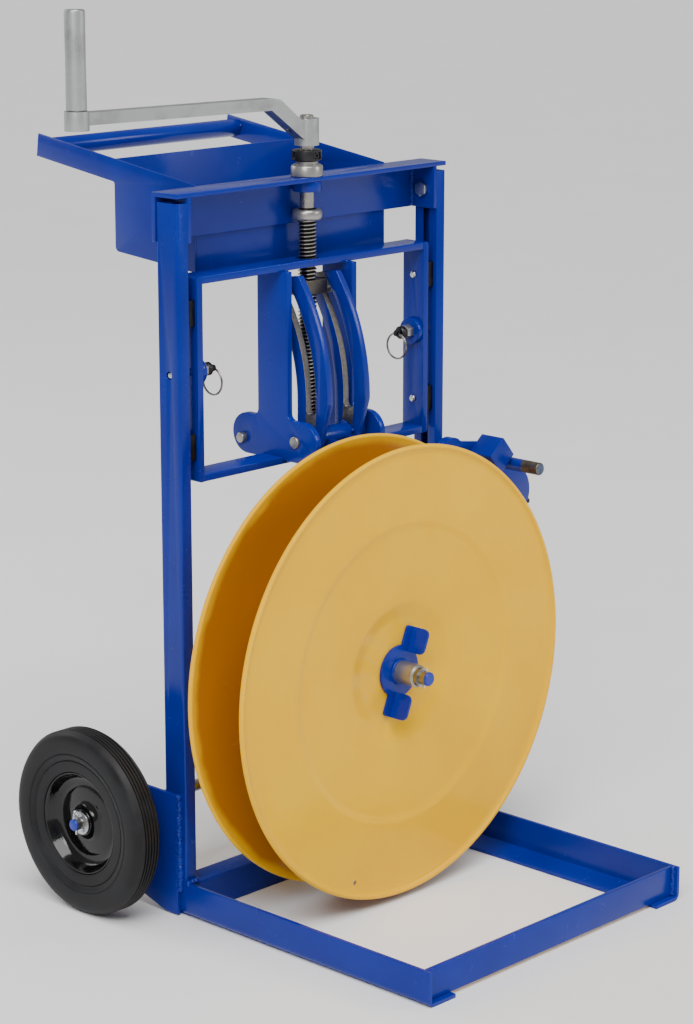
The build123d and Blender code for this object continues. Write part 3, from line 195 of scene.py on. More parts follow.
BLUE = rgb(0.0010, 0.0130, 0.2300)
BLUE_LIGHT = rgb(0.0014, 0.0200, 0.3000)
BLUE_DEEP = rgb(0.0010, 0.0070, 0.1500)
YELLOW = rgb(0.820, 0.430, 0.000)
YELLOW_LIGHT = rgb(0.880, 0.500, 0.000)
YELLOW_DUSK = rgb(0.720, 0.330, 0.000)
# The yellow enamel darkened to orange-brown, as painted shade for the faces between the reel's
# flanges.
YELLOW_IN_PAINTED_SHADE = rgb(0.42, 0.150, 0.006)
STEEL = rgb(0.33, 0.325, 0.31)
STEEL_STAIN = rgb(0.16, 0.14, 0.11)


def coat_of_paint(paint, dark, body, light):
    """Sprayed and baked paint: faint clouds in the colour, orange peel, and dull patches."""
    clouds = paint.between(paint.noise(9.0, 4.0), 0.35, 0.68)
    drift = paint.between(paint.noise(2.6, 2.0), 0.40, 0.75)
    colour = paint.blend(clouds * 0.55, body, light)
    colour = paint.blend(drift * 0.35, colour, dark)
    peel = paint.noise(420.0, 1.0, 0.4)
    slow = paint.noise(60.0, 1.0, 0.4)
    rubbed = paint.between(paint.noise(34.0, 5.0, 0.7), 0.52, 0.78)
    paint.feed("Roughness", rubbed * 0.14 + 0.20)
    return colour, peel * 0.5 + slow * 0.5


def blue_paint():
    paint = Paint("blue_powder_coat", Specular_IOR_Level=0.26)
    colour, relief = coat_of_paint(paint, BLUE_DEEP, BLUE, BLUE_LIGHT)
    specks = paint.between(paint.cells(150.0), 0.06, 0.03)
    scuffs = specks * paint.between(paint.noise(14.0, 3.0), 0.60, 0.70)
    paint.feed("Base Color", paint.blend(scuffs * 0.5, colour, rgb(0.03, 0.08, 0.34)))
    paint.bump(relief, 0.00025, 0.30)
    return paint.material


def cam_paint():
    """Blue plate whose arc slot is worn to bare steel, with flame-cut ripples on its rims."""
    paint = Paint("blue_plate_bare_slot", Specular_IOR_Level=0.38)
    colour, relief = coat_of_paint(paint, BLUE_DEEP, BLUE, BLUE_LIGHT)
    across, up = paint.y - ARC_Y, paint.z - ARC_Z
    reach = paint.reach(across, up)
    in_slot = (reach > SLOT_INNER) * (reach < SLOT_OUTER)
    rim = (reach < CAM_INNER) + in_slot
    ripples = (paint.angle(up, across) * 900.0).sine()
    steel = paint.blend(paint.noise(300.0, 3.0), rgb(0.34, 0.32, 0.28), rgb(0.10, 0.09, 0.07))
    paint.feed("Base Color", paint.blend(in_slot * 0.92, colour, steel))
    paint.feed("Metallic", in_slot * 0.9)
    paint.feed("Roughness", in_slot * 0.12 + 0.24)
    paint.bump(relief * 0.3 + ripples * rim.at_most(1.0) * 0.7, 0.0006, 0.55)
    return paint.material


def yellow_paint():
    paint = Paint("yellow_enamel", Specular_IOR_Level=0.13)
    colour, relief = coat_of_paint(paint, YELLOW_DUSK, YELLOW, YELLOW_LIGHT)
    across, up = paint.x - REEL_X, paint.z - REEL_Z
    reach = paint.reach(across, up)
    rubbed = paint.between(reach, 0.090, 0.060) * paint.between(paint.noise(90.0, 4.0), 0.45, 0.65)
    paint.feed("Base Color", paint.blend(rubbed * 0.25, colour, rgb(0.55, 0.36, 0.10)))
    paint.bump(relief, 0.00022, 0.22)
    return paint.material


def shaded_yellow_paint():
    """The flanges' inner faces and the core between them: the yellow enamel darkened to
    orange-brown as painted shade, turning back to yellow at the rim.
    """
    paint = Paint("yellow_enamel_painted_shade", Specular_IOR_Level=0.20)
    colour, relief = coat_of_paint(paint, rgb(0.30, 0.085, 0.001), YELLOW_IN_PAINTED_SHADE,
                                   rgb(0.42, 0.145, 0.003))
    across, up = paint.x - REEL_X, paint.z - REEL_Z
    reach = paint.reach(across, up)
    rim = paint.between(reach + paint.noise(20.0, 2.0) * 0.012, 0.300, 0.312)
    paint.feed("Base Color", paint.blend(rim, colour, YELLOW))
    paint.bump(relief, 0.00022, 0.25)
    return paint.material


def steel(name, light=STEEL, stain=STEEL_STAIN, rough=0.26, dirt=0.45, sheen=1.0):
    """Bare metal with fine level lines and oil stains."""
    paint = Paint(name, Metallic=sheen)
    lines = paint.noise(2600.0, 3.0, 0.7, paint.turning_lines())
    stains = paint.between(paint.noise(70.0, 5.0, 0.65), 0.48, 0.72)
    paint.feed("Base Color", paint.blend(stains * dirt, light, stain))
    paint.feed("Roughness", lines * 0.14 + stains * 0.18 + rough)
    paint.bump(lines, 0.00012, 0.35)
    return paint.material


def rod_steel():
    """Oiled bar, with the block's paint run down its root and a touch of blue on its end."""
    paint = Paint("guide_rod_steel", Specular_IOR_Level=0.4)
    ragged = paint.noise(120.0, 3.0) * 0.012 - 0.006
    root = paint.between(paint.y + ragged, LEVER_BLOCK_FRONT - 0.016, LEVER_BLOCK_FRONT - 0.014)
    end = paint.between(paint.y, ROD_END + 0.0006, ROD_END + 0.0002)
    rust = paint.between(paint.noise(90.0, 5.0, 0.7), 0.42, 0.66)
    metal = paint.blend(rust, rgb(0.17, 0.15, 0.13), rgb(0.10, 0.070, 0.045))
    metal = paint.blend(end * 0.6, metal, rgb(0.05, 0.11, 0.22))
    paint.feed("Base Color", paint.blend(root, metal, BLUE))
    paint.feed("Metallic", 0.85 - root * 0.85)
    paint.feed("Roughness", rust * 0.2 + 0.30)
    paint.bump(paint.noise(900.0, 3.0, 0.7), 0.0002, 0.35)
    return paint.material


def screw_steel():
    """The lead screw: rubbed bright on its crests, with painted shade, near black, down in the
    thread.
    """
    paint = Paint("lead_screw_steel", Metallic=0.9)
    reach = paint.reach(paint.x, paint.y)
    threaded = paint.z < THREAD_TOP
    # Painted shade: the thread's roots, between crest and root, turned near black.
    thread_root_shade = paint.between(reach, THREAD_CREST - 0.0003, THREAD_ROOT + 0.0003) * threaded
    stains = paint.between(paint.noise(70.0, 5.0, 0.65), 0.45, 0.70)
    metal = paint.blend(stains * 0.5, rgb(0.36, 0.345, 0.32), rgb(0.17, 0.15, 0.12))
    paint.feed("Base Color", paint.blend(thread_root_shade, metal, rgb(0.012, 0.010, 0.008)))
    paint.feed("Roughness", thread_root_shade * 0.25 + stains * 0.12 + 0.22)
    paint.bump(paint.noise(1800.0, 3.0, 0.7, paint.turning_lines()), 0.0001, 0.3)
    return paint.material


# How far the blue paint runs in from a rod's end, and how soft its edge is.
PAINTED_DEPTH = 0.0035
PAINT_EDGE = 0.0005


def painted_tip(name, node, axis, both_ends):
    """A bare steel rod whose front end, or both ends, were caught by the blue paint."""
    paint = Paint(name, Roughness=0.3)
    low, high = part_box(node)
    index = "xyz".index(axis)
    coordinate = (paint.x, paint.y, paint.z)[index]
    ragged = paint.noise(260.0, 3.0) * 0.002 - 0.001
    if both_ends:
        start = high[index] - PAINTED_DEPTH
        tip = paint.between((coordinate + ragged).size(), start, start + PAINT_EDGE)
    else:
        start = low[index] + PAINTED_DEPTH
        tip = paint.between(coordinate + ragged, start + PAINT_EDGE, start)
    lines = paint.noise(2600.0, 3.0, 0.7)
    stains = paint.between(paint.noise(70.0, 5.0, 0.65), 0.45, 0.70)
    metal = paint.blend(stains * 0.6, STEEL, STEEL_STAIN)
    paint.feed("Base Color", paint.blend(tip, metal, BLUE_LIGHT))
    paint.feed("Metallic", 1.0 - tip)
    paint.bump(lines, 0.00012, 0.3)
    return paint.material


def cast_aluminium():
    paint = Paint("cast_aluminium", Metallic=1.0)
    grain = paint.noise(900.0, 4.0, 0.7)
    skin = paint.noise(180.0, 5.0, 0.6)
    smudge = paint.between(paint.noise(26.0, 4.0), 0.45, 0.70)
    colour = paint.blend(smudge * 0.6, rgb(0.43, 0.44, 0.44), rgb(0.28, 0.28, 0.28))
    pits = paint.between(paint.cells(420.0), 0.20, 0.08) * paint.between(skin, 0.50, 0.62)
    paint.feed("Base Color", paint.blend(pits * 0.5, colour, rgb(0.20, 0.20, 0.20)))
    paint.feed("Roughness", skin * 0.30 + 0.30)
    paint.bump(grain * 0.5 + skin - pits * 0.8, 0.0005, 0.40)
    return paint.material


def rubber():
    """Moulded black rubber, greyed where it has been handled, with brown dust on the tread."""
    paint = Paint("black_rubber", IOR=1.45, Specular_IOR_Level=0.28)
    _, hub_y, hub_z = middle("left_rim")
    across, up = paint.y - hub_y, paint.z - hub_z
    reach = paint.reach(across, up)
    bloom = paint.between(paint.noise(22.0, 5.0, 0.6), 0.40, 0.72)
    colour = paint.blend(bloom, rgb(0.007, 0.007, 0.008), rgb(0.016, 0.016, 0.018))
    dusty = (reach > TREAD_DUST) * paint.between(paint.noise(50.0, 3.0), 0.35, 0.65)
    paint.feed("Base Color", paint.blend(dusty * 0.45, colour, rgb(0.018, 0.013, 0.009)))
    paint.feed("Roughness", bloom * 0.16 + 0.46)
    paint.bump(paint.noise(1500.0, 3.0, 0.7), 0.0002, 0.35)
    return paint.material


def gloss_black():
    paint = Paint("gloss_black_enamel", Specular_IOR_Level=0.42)
    dust = paint.between(paint.noise(60.0, 5.0, 0.7), 0.50, 0.80)
    paint.feed("Base Color", paint.blend(dust * 0.5, rgb(0.002, 0.002, 0.002),
                                         rgb(0.009, 0.009, 0.010)))
    paint.feed("Roughness", dust * 0.20 + 0.10)
    paint.bump(paint.noise(240.0, 2.0), 0.0004, 0.30)
    return paint.material


def nylon():
    paint = Paint("black_nylon", Specular_IOR_Level=0.2)
    grime = paint.between(paint.noise(60.0, 4.0), 0.45, 0.70)
    paint.feed("Base Color", paint.blend(grime, rgb(0.003, 0.003, 0.004), rgb(0.010, 0.009, 0.009)))
    paint.feed("Roughness", grime * 0.2 + 0.40)
    paint.bump(paint.noise(800.0, 2.0), 0.0001, 0.3)
    return paint.material


MATERIALS = {
    "blue_paint": blue_paint(),
    "yellow_paint": yellow_paint(),
    "bare_steel": steel("turned_steel", sheen=0.8),
    "dark_steel": steel("dark_oiled_steel", rgb(0.13, 0.115, 0.10), rgb(0.05, 0.042, 0.035), 0.30),
    "zinc_steel": steel("bright_zinc", rgb(0.50, 0.52, 0.54), rgb(0.28, 0.28, 0.28), 0.20,
                        dirt=0.3),
    "cast_aluminium": cast_aluminium(),
    "black_rubber": rubber(),
    "black_paint": gloss_black(),
    "black_oxide": steel("black_oxide", rgb(0.045, 0.045, 0.048), rgb(0.02, 0.018, 0.016), 0.34),
    "nylon": nylon(),
}
CAM_PAINT = cam_paint()
YELLOW_PAINTED_SHADE = shaded_yellow_paint()
SPINDLE_STEEL = painted_tip("spindle_steel", "spindle", "y", False)
AXLE_STEEL = painted_tip("axle_steel", "axle", "x", True)
ROD_STEEL = rod_steel()
RING_STEEL = steel("ring_steel", rgb(0.24, 0.22, 0.20), rgb(0.10, 0.09, 0.08), 0.22)
SLOT_OF = {entry["node"]: entry["material_slot"] for entry in frame["record"]["subparts"]}


# ---- modelling tools ----------------------------------------------------------------
def deselect():
    if bpy.context.mode != "OBJECT":
        bpy.ops.object.mode_set(mode="OBJECT")
    bpy.ops.object.select_all(action="DESELECT")


def pick(piece):
    deselect()
    piece.select_set(True)
    bpy.context.view_layer.objects.active = piece


def finish_piece(piece, name, body, slot, material=None, *nodes):
    """Names a piece, settles its place in its mesh, and ties it to its body and finish."""
    pick(piece)
    bpy.ops.object.transform_apply(location=True, rotation=True, scale=True)
    piece.name = name
    piece.data.materials.clear()
    piece.data.materials.append(material or MATERIALS[slot])
    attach(piece, body)
    if nodes:
        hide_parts(*nodes)


def smooth(piece, angle=35.0):
    pick(piece)
    bpy.ops.object.shade_smooth_by_angle(angle=math.radians(angle))


def modify(piece, kind, **settings):
    pick(piece)
    modifier = piece.modifiers.new(kind.lower(), kind)
    for key, value in settings.items():
        setattr(modifier, key, value)
    bpy.ops.object.modifier_apply(modifier=modifier.name)


def lathe(profile, centre, axis, steps=96):
    """Spins an outline of (radius, offset) points about a line through centre.

    The outline starts as one vertex, grows by extruding, and is spun in edit mode."""
    spin = Vector(axis).normalized()
    side = Vector((0, 0, 1)) if abs(spin.z) < 0.5 else Vector((1, 0, 0))
    centre = Vector(centre)
    points = [centre + side * radius + spin * offset for radius, offset in profile]
    deselect()
    bpy.ops.mesh.primitive_plane_add(size=0.001, location=points[0])
    piece = bpy.context.object
    bpy.ops.object.mode_set(mode="EDIT")
    bpy.ops.mesh.select_all(action="SELECT")
    bpy.ops.mesh.merge(type="CENTER")
    for before, after in zip(points, points[1:]):
        bpy.ops.mesh.extrude_region_move(TRANSFORM_OT_translate={"value": after - before})
    bpy.ops.mesh.select_all(action="SELECT")
    bpy.ops.mesh.spin(steps=steps, angle=2 * math.pi, center=centre, axis=spin)
    bpy.ops.mesh.select_all(action="SELECT")
    bpy.ops.mesh.remove_doubles(threshold=0.00002)
    bpy.ops.mesh.normals_make_consistent(inside=False)
    bpy.ops.object.mode_set(mode="OBJECT")
    return piece


def arc(radius, offset, size, start, end, count=8):
    """Points of a round stretch of a lathe's outline, in degrees from the radial direction."""
    turns = [math.radians(start + (end - start) * i / count) for i in range(count + 1)]
    return [(radius + size * math.cos(t), offset + size * math.sin(t)) for t in turns]


def closed(outline):
    return outline + [outline[0]]


def join(pieces):
    deselect()
    for piece in pieces:
        piece.select_set(True)
    bpy.context.view_layer.objects.active = pieces[0]
    bpy.ops.object.join()
    return bpy.context.object


def eased_copy(node, width=0.8, segments=2, angle=30.0):
    """A CAD node's shape with its triangles merged and its edges broken, as fettled metal."""
    source = frame["nodes"][node]
    piece = bpy.data.objects.new(node + "_eased", source.data.copy())
    bpy.context.scene.collection.objects.link(piece)
    pick(piece)
    bpy.ops.object.mode_set(mode="EDIT")
    bpy.ops.mesh.select_all(action="SELECT")
    bpy.ops.mesh.remove_doubles(threshold=0.00001)
    bpy.ops.mesh.dissolve_limited(angle_limit=math.radians(0.6))
    bpy.ops.object.mode_set(mode="OBJECT")
    modify(piece, "BEVEL", width=width * MM, segments=segments, limit_method="ANGLE",
           angle_limit=math.radians(angle), harden_normals=False, use_clamp_overlap=True)
    smooth(piece, 40.0)
    return piece


def ease(nodes, width=0.8, segments=2, material=None):
    for node in nodes:
        piece = eased_copy(node, width, segments)
        finish_piece(piece, node + "_shape", NODE_BODY[node], SLOT_OF[node], material, node)


def ripple(piece, strength):
    """Roughens a run of weld the way that its pool froze."""
    texture = bpy.data.textures.get("weld_ripple") or bpy.data.textures.new("weld_ripple", "CLOUDS")
    texture.noise_scale = 0.006
    modify(piece, "DISPLACE", texture=texture, texture_coords="GLOBAL", strength=strength,
           mid_level=0.5)
    smooth(piece, 80.0)


def weld(name, start, end, radius, body="frame", slot="blue_paint"):
    """A run of weld ripples between two points, modelled as one ripple and repeated."""
    start, end = Vector(start), Vector(end)
    run = end - start
    pitch = radius * 0.95
    count = max(2, int(run.length / pitch))
    deselect()
    bpy.ops.mesh.primitive_uv_sphere_add(segments=12, ring_count=8, radius=radius, location=start)
    bead = bpy.context.object
    modify(bead, "ARRAY", count=count, use_relative_offset=False, use_constant_offset=True,
           constant_offset_displace=run / (count - 1), use_merge_vertices=False)
    ripple(bead, radius * 0.9)
    finish_piece(bead, name, body, slot)


# ---- painted steelwork --------------------------------------------------------------
def steelwork():
    thick = ["left_rail", "right_rail", "front_bar", "left_axle_plate", "right_axle_plate",
             "crossbar", "crossbar_end_plates", "carriage_top_bar", "carriage_bottom_bar",
             "carriage_side_bars", "left_hanger", "right_hanger", "lever_bearer"]
    ease(thick, 1.1, 3)
    ease(["left_post", "right_post", "rear_bar", "reel_arm", "tray_handle", "plunger_bosses",
          "pivot_tube", "screw_boss"], 0.7, 2)
    ease(["left_tray_side", "right_tray_side", "tray_pan"], 0.6, 2)
    ease(["left_cam", "right_cam"], 1.0, 2, CAM_PAINT)


# How far from the middle plane some of the welds lie, and the crossbar end plates' height.
END_PLATE_WELD, HANGER_WELD, CAM_WELD, HANDLE_WELD = 0.2285, 0.057, 0.0305, 0.1765
END_PLATE_LOW, END_PLATE_HIGH = 0.913, 0.962


def weldments():
    bar_low, bar_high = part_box("front_bar")
    post_low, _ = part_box("left_post")
    plate_low, plate_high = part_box("left_axle_plate")
    for side, word in SIDES:
        outer = side * abs(post_low[0])
        y = plate_low[1] - 0.0010
        weld(word + "_axle_plate_weld", (outer + side * 0.0012, y, 0.040),
             (outer + side * 0.0012, y, plate_high[2] - 0.004), 0.0056)
        weld(word + "_post_foot_weld", (outer - side * 0.002, post_low[1] - 0.001, post_low[2]),
             (outer - side * 0.016, post_low[1] - 0.001, post_low[2]), 0.0046)
        inner = side * bar_high[0]
        weld(word + "_front_weld", (inner - side * 0.001, bar_low[1] - 0.0008, 0.009),
             (inner - side * 0.001, bar_low[1] - 0.0008, bar_high[2] - 0.003), 0.0040)
        end = side * END_PLATE_WELD
        y = middle("crossbar")[1] + 0.0166
        weld(word + "_end_plate_weld", (end, y, END_PLATE_LOW), (end, y, END_PLATE_HIGH), 0.0038)
        hanger = side * HANGER_WELD
        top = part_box("carriage_top_bar")[0][2]
        weld(word + "_hanger_weld", (hanger, -0.018, top), (hanger, 0.018, top), 0.0026)
        cam = side * CAM_WELD
        tube = middle("pivot_tube")
        weld(word + "_tube_weld", (cam, tube[1] - 0.013, tube[2] + 0.004),
             (cam, tube[1] + 0.004, tube[2] + 0.0135), 0.0030, "tilt_arm")
        handle = side * HANDLE_WELD
        _, bar_y, bar_z = middle("tray_handle")
        weld(word + "_handle_weld", (handle, bar_y - 0.012, bar_z + 0.004),
             (handle, bar_y + 0.010, bar_z + 0.009), 0.0030)


# How much of the guide lever's far side is the black screw at its lobe.
LOBE_SCREW = 0.0066


def lever():
    """The guide lever: painted plate and block, a bare rod, and a black screw at its lobe."""
    piece = eased_copy("guide_lever", 1.0, 2)
    screw_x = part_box("guide_lever")[1][0] - LOBE_SCREW
    finish_piece(piece, "guide_lever_shape", "guide_lever", "blue_paint", None, "guide_lever")
    piece.data.materials.append(ROD_STEEL)
    piece.data.materials.append(MATERIALS["black_oxide"])
    for face in piece.data.polygons:
        reach = math.hypot(face.center.x - ROD_X, face.center.z - ROD_Z)
        if reach < ROD_REACH and face.center.y < LEVER_BLOCK_FRONT + 0.030:
            face.material_index = 1
        if face.center.x > screw_x:
            face.material_index = 2


# ---- reel -----------------------------------------------------------------------------
# The flanges' rims, their rolled bead and sheet, the hole by the rim, and the nut's sleeve.
FRONT_RIM_Y, REAR_RIM_Y = -0.184, -0.090
FLANGE_RADIUS = 0.3075
BEAD = 0.0035
SHEET = 0.0016
RIM_HOLE_REACH = 0.289
RIM_HOLE_LEAN = 20.0
RIM_HOLE_RADIUS = 0.0035
SLEEVE_REACH = 0.0157


def flange_outline():
    """Half a section of a pressed flange: hub bowl, cone, step, flat, and the rolled rim."""
    outer = [(0.0098, -0.0160), (0.068, -0.0160), (0.073, -0.0157), (0.078, -0.0146),
             (0.092, -0.0096), (0.096, -0.0083), (0.102, -0.0076), (0.150, -0.0052),
             (0.1955, -0.0032), (0.1985, -0.0029), (0.2050, -0.0006), (0.2075, 0.0),
             (0.213, 0.0), (0.260, -0.0004), (0.296, -0.0006), (0.301, -0.0004)]
    roll = arc(FLANGE_RADIUS, 0.0, BEAD, 180, -110, 14)
    inner = [(radius, offset - SHEET) for radius, offset in reversed(outer)]
    return closed(outer + roll[1:] + inner)


def reel():
    flanges = (("front_flange", -1, FRONT_RIM_Y), ("rear_flange", 1, REAR_RIM_Y))
    for name, sign, rim_y in flanges:
        piece = lathe(flange_outline(), (REEL_X, rim_y, REEL_Z), (0, sign, 0), 192)
        drill_rim(piece, rim_y, sign)
        finish_piece(piece, name + "_pressing", "reel", "yellow_paint", None, name)
        paint_shade_on_inner_faces(piece, sign)
        smooth(piece, 50.0)
    # The core between the flanges takes the same painted shade.
    ease(["reel_core"], 0.4, 1, YELLOW_PAINTED_SHADE)


def drill_rim(piece, rim_y, sign):
    """The small hole near the rim that the strap's end is threaded through."""
    lean = math.radians(RIM_HOLE_LEAN) * sign
    place = (REEL_X + math.sin(lean) * RIM_HOLE_REACH, rim_y,
             REEL_Z - math.cos(lean) * RIM_HOLE_REACH)
    deselect()
    bpy.ops.mesh.primitive_cylinder_add(vertices=24, radius=RIM_HOLE_RADIUS, depth=0.03,
                                        location=place, rotation=(math.pi / 2, 0, 0))
    drill = bpy.context.object
    modify(piece, "BOOLEAN", object=drill, operation="DIFFERENCE", solver="EXACT")
    bpy.data.objects.remove(drill)


def paint_shade_on_inner_faces(piece, sign):
    """Gives the faces that look into the reel their own finish, the painted shade between the
    flanges.
    """
    piece.data.materials.append(YELLOW_PAINTED_SHADE)
    for face in piece.data.polygons:
        reach = math.hypot(face.center.x - REEL_X, face.center.z - REEL_Z)
        if face.normal.y * sign < -0.3 and reach < FLANGE_RADIUS - 0.002:
            face.material_index = 1


def wing_nut():
    """The wing nut with its bare sleeve and weld, and the split pin at the spindle's end."""
    piece = eased_copy("wing_nut", 1.6, 3)
    finish_piece(piece, "wing_nut_shape", "wing_nut", "blue_paint", None, "wing_nut")
    piece.data.materials.append(MATERIALS["bare_steel"])
    sleeve_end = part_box("front_flange")[0][1] + 0.0075 + 0.0045
    for face in piece.data.polygons:
        reach = math.hypot(face.center.x - REEL_X, face.center.z - REEL_Z)
        if reach < SLEEVE_REACH and face.center.y < sleeve_end:
            face.material_index = 1
    clip_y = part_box("spindle")[0][1]
    pin = lathe(closed([(0.0, 0.0), (0.0012, 0.0), (0.0014, 0.0005), (0.0014, 0.026),
                        (0.0010, 0.027), (0.0, 0.027)])[:-1],
                (REEL_X - 0.004, clip_y + 0.0085, REEL_Z - 0.0135), (0.30, 0, 1), 16)
    smooth(pin)
    finish_piece(pin, "spindle_split_pin", "tilt_arm", "zinc_steel")
    weld_ring("wing_sleeve_weld", (REEL_X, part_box("wing_nut")[1][1] - 0.0048, REEL_Z), (0, 1, 0),
              0.0158, 0.0022, "wing_nut")


def weld_ring(name, centre, axis, radius, size, body, slot="blue_paint"):
    """A round weld fillet with its ripples, spun and then roughened."""
    outline = closed(arc(radius, 0.0, size, 0, 315, 7))
    piece = lathe(outline, centre, axis, 72)
    ripple(piece, size * 0.6)
    finish_piece(piece, name, body, slot)


# ---- wheels ---------------------------------------------------------------------------
TYRE_RADIUS = 0.127
TYRE_HALF = 0.022
GROOVES = 5
# The hub tube: how far from the middle plane it begins, and its length.
HUB_START, HUB_LENGTH = 0.282, 0.054


def tyre_outline():
    """Half a section of a solid tyre: stepped side walls, round shoulders, grooved tread."""
    r, h = TYRE_RADIUS, TYRE_HALF
    wall = [(0.0703, h - 0.0065), (0.0712, h - 0.0045), (0.0740, h - 0.0038), (0.0855, h - 0.0034),
            (0.0865, h - 0.0044), (0.0875, h - 0.0034), (0.0895, h - 0.0018), (0.0945, h - 0.0010),
            (0.0960, h - 0.0018), (0.0972, h - 0.0006), (0.1020, h), (0.1120, h - 0.0002)]
    shoulder = [(r - 0.0090, h - 0.0010), (r - 0.0052, h - 0.0030), (r - 0.0028, h - 0.0058),
                (r - 0.0014, h - 0.0084)]
    tread = []
    pitch = 0.0050
    for index in range(GROOVES):
        z = (GROOVES - 1) / 2 * pitch - index * pitch
        tread += [(r, z + 0.0017), (r - 0.0004, z + 0.0012), (r - 0.0026, z + 0.0008),
                  (r - 0.0028, z), (r - 0.0026, z - 0.0008), (r - 0.0004, z - 0.0012),
                  (r, z - 0.0017)]
    outer = wall + shoulder
    mirrored = [(radius, -offset) for radius, offset in reversed(outer)]
    return closed(outer + tread + mirrored)


def rim_outline(inner, outer):
    """Half a section of a pressed rim: rolled lip, deep dish, web, and the hub tube."""
    lip = TYRE_HALF - 0.0062
    return closed([(0.0081, inner), (0.0188, inner), (0.0190, inner + 0.001), (0.0190, -0.0075),
                   (0.0215, -0.0052), (0.0290, -0.0035), (0.0480, -0.0035), (0.0560, -0.0050),
                   (0.0640, -0.0095), (0.0672, -0.0150), (0.0690, -0.0160), (0.0702, -0.0152),
                   (0.0702, lip - 0.0008), (0.0694, lip + 0.0006), (0.0680, lip + 0.0004),
                   (0.0660, lip - 0.0030), (0.0630, 0.0040), (0.0600, 0.0005), (0.0560, -0.0012),
                   (0.0490, -0.0015), (0.0475, -0.0010), (0.0440, 0.0004), (0.0300, 0.0006),
                   (0.0240, 0.0016), (0.0205, 0.0048), (0.0190, 0.0075), (0.0186, outer - 0.001),
                   (0.0180, outer), (0.0081, outer)])


def wheels():
    for side, word in SIDES:
        centre = middle(word + "_tyre")
        axis = (side, 0, 0)
        tyre = lathe(tyre_outline(), centre, axis, 144)
        smooth(tyre, 32.0)
        finish_piece(tyre, word + "_tyre_moulding", word + "_wheel", "black_rubber", None,
                     word + "_tyre")
        inner = HUB_START - abs(centre[0])
        outer = HUB_START + HUB_LENGTH - abs(centre[0])
        rim = lathe(rim_outline(inner, outer), centre, axis, 128)
        smooth(rim, 40.0)
        finish_piece(rim, word + "_rim_pressing", word + "_wheel", "black_paint", None,
                     word + "_rim")
    ease(["axle"], 0.3, 1, AXLE_STEEL)
    ease(["axle_washers", "cotter_pins"], 0.3, 1)


# ---- screw and crank --------------------------------------------------------------------
# The radius of the screw's plain end, and how deep the wound ridge is sunk in its root.
JOURNAL = 0.0095
SUNK = 0.0003


def helix():
    """The lead screw: a shaft with a true spiral thread wound on its root."""
    low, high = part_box("lead_screw")
    pitch, root, crest, top = THREAD_PITCH, THREAD_ROOT, THREAD_CREST, THREAD_TOP
    turns = int((top - low[2]) / pitch) - 1
    shaft = lathe([(0.0, low[2]), (root, low[2]), (root, top), (JOURNAL, top),
                   (JOURNAL, high[2] - 0.0015), (JOURNAL - 0.0015, high[2]), (0.0, high[2])],
                  (0, 0, 0), (0, 0, 1), 48)
    deselect()
    bpy.ops.mesh.primitive_plane_add(size=0.001, location=(root - SUNK, 0, low[2] + 0.0008))
    ridge = bpy.context.object
    bpy.ops.object.mode_set(mode="EDIT")
    bpy.ops.mesh.select_all(action="SELECT")
    bpy.ops.mesh.merge(type="CENTER")
    flank, flat = crest - root + SUNK, 0.0013
    for step in ((flank, 0, 0.0007), (0, 0, flat), (-flank, 0, 0.0007)):
        bpy.ops.mesh.extrude_region_move(TRANSFORM_OT_translate={"value": step})
    bpy.ops.object.mode_set(mode="OBJECT")
    pick(ridge)
    bpy.ops.object.transform_apply(location=True, rotation=True, scale=True)
    modify(ridge, "SCREW", angle=2 * math.pi, screw_offset=pitch, iterations=turns, steps=32,
           render_steps=32, axis="Z", use_normal_calculate=True)
    close_ends(ridge)
    screw = join([shaft, ridge])
    smooth(screw, 35.0)
    finish_piece(screw, "lead_screw_thread", "screw", SLOT_OF["lead_screw"], screw_steel(),
                 "lead_screw")


def close_ends(piece):
    """Caps the open rims of a wound ridge."""
    pick(piece)
    bpy.ops.object.mode_set(mode="EDIT")
    bpy.ops.mesh.select_all(action="SELECT")
    bpy.ops.mesh.remove_doubles(threshold=0.00001)
    bpy.ops.mesh.select_all(action="DESELECT")
    bpy.ops.mesh.select_non_manifold()
    bpy.ops.mesh.fill()
    bpy.ops.mesh.select_all(action="SELECT")
    bpy.ops.mesh.normals_make_consistent(inside=False)
    bpy.ops.object.mode_set(mode="OBJECT")


def bearing_stack():
    z0, z1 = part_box("thrust_bearing")[0][2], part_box("thrust_bearing")[1][2]
    race = lathe(closed([(0.0098, 0.0), (0.0205, 0.0), (0.0215, 0.001), (0.0215, 0.0125),
                         (0.0205, 0.0142), (0.0185, 0.0148), (0.0185, 0.0156), (0.0150, 0.0160),
                         (0.0150, z1 - z0 - 0.0008), (0.0142, z1 - z0), (0.0098, z1 - z0)]),
                 (0, 0, z0), (0, 0, 1), 72)
    smooth(race)
    finish_piece(race, "thrust_bearing_races", "frame", "bare_steel", None, "thrust_bearing")
    low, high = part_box("stop_ring")
    height = high[2] - low[2]
    outline = closed([(0.0127, 0.0), (0.0175, 0.0), (0.0192, 0.0012), (0.0202, 0.0035),
                      (0.0205, height / 2), (0.0202, height - 0.0035), (0.0192, height - 0.0012),
                      (0.0175, height), (0.0127, height)])
    ring = lathe(outline, (0, 0, low[2]), (0, 0, 1), 72)
    smooth(ring, 60.0)
    finish_piece(ring, "stop_ring_turned", "screw", "bare_steel", None, "stop_ring")


# The collar's notches: their places round it, and their middle's distance from its axis.
NOTCH_TURNS = (35.0, 155.0, 275.0)
NOTCH_REACH = 0.0215


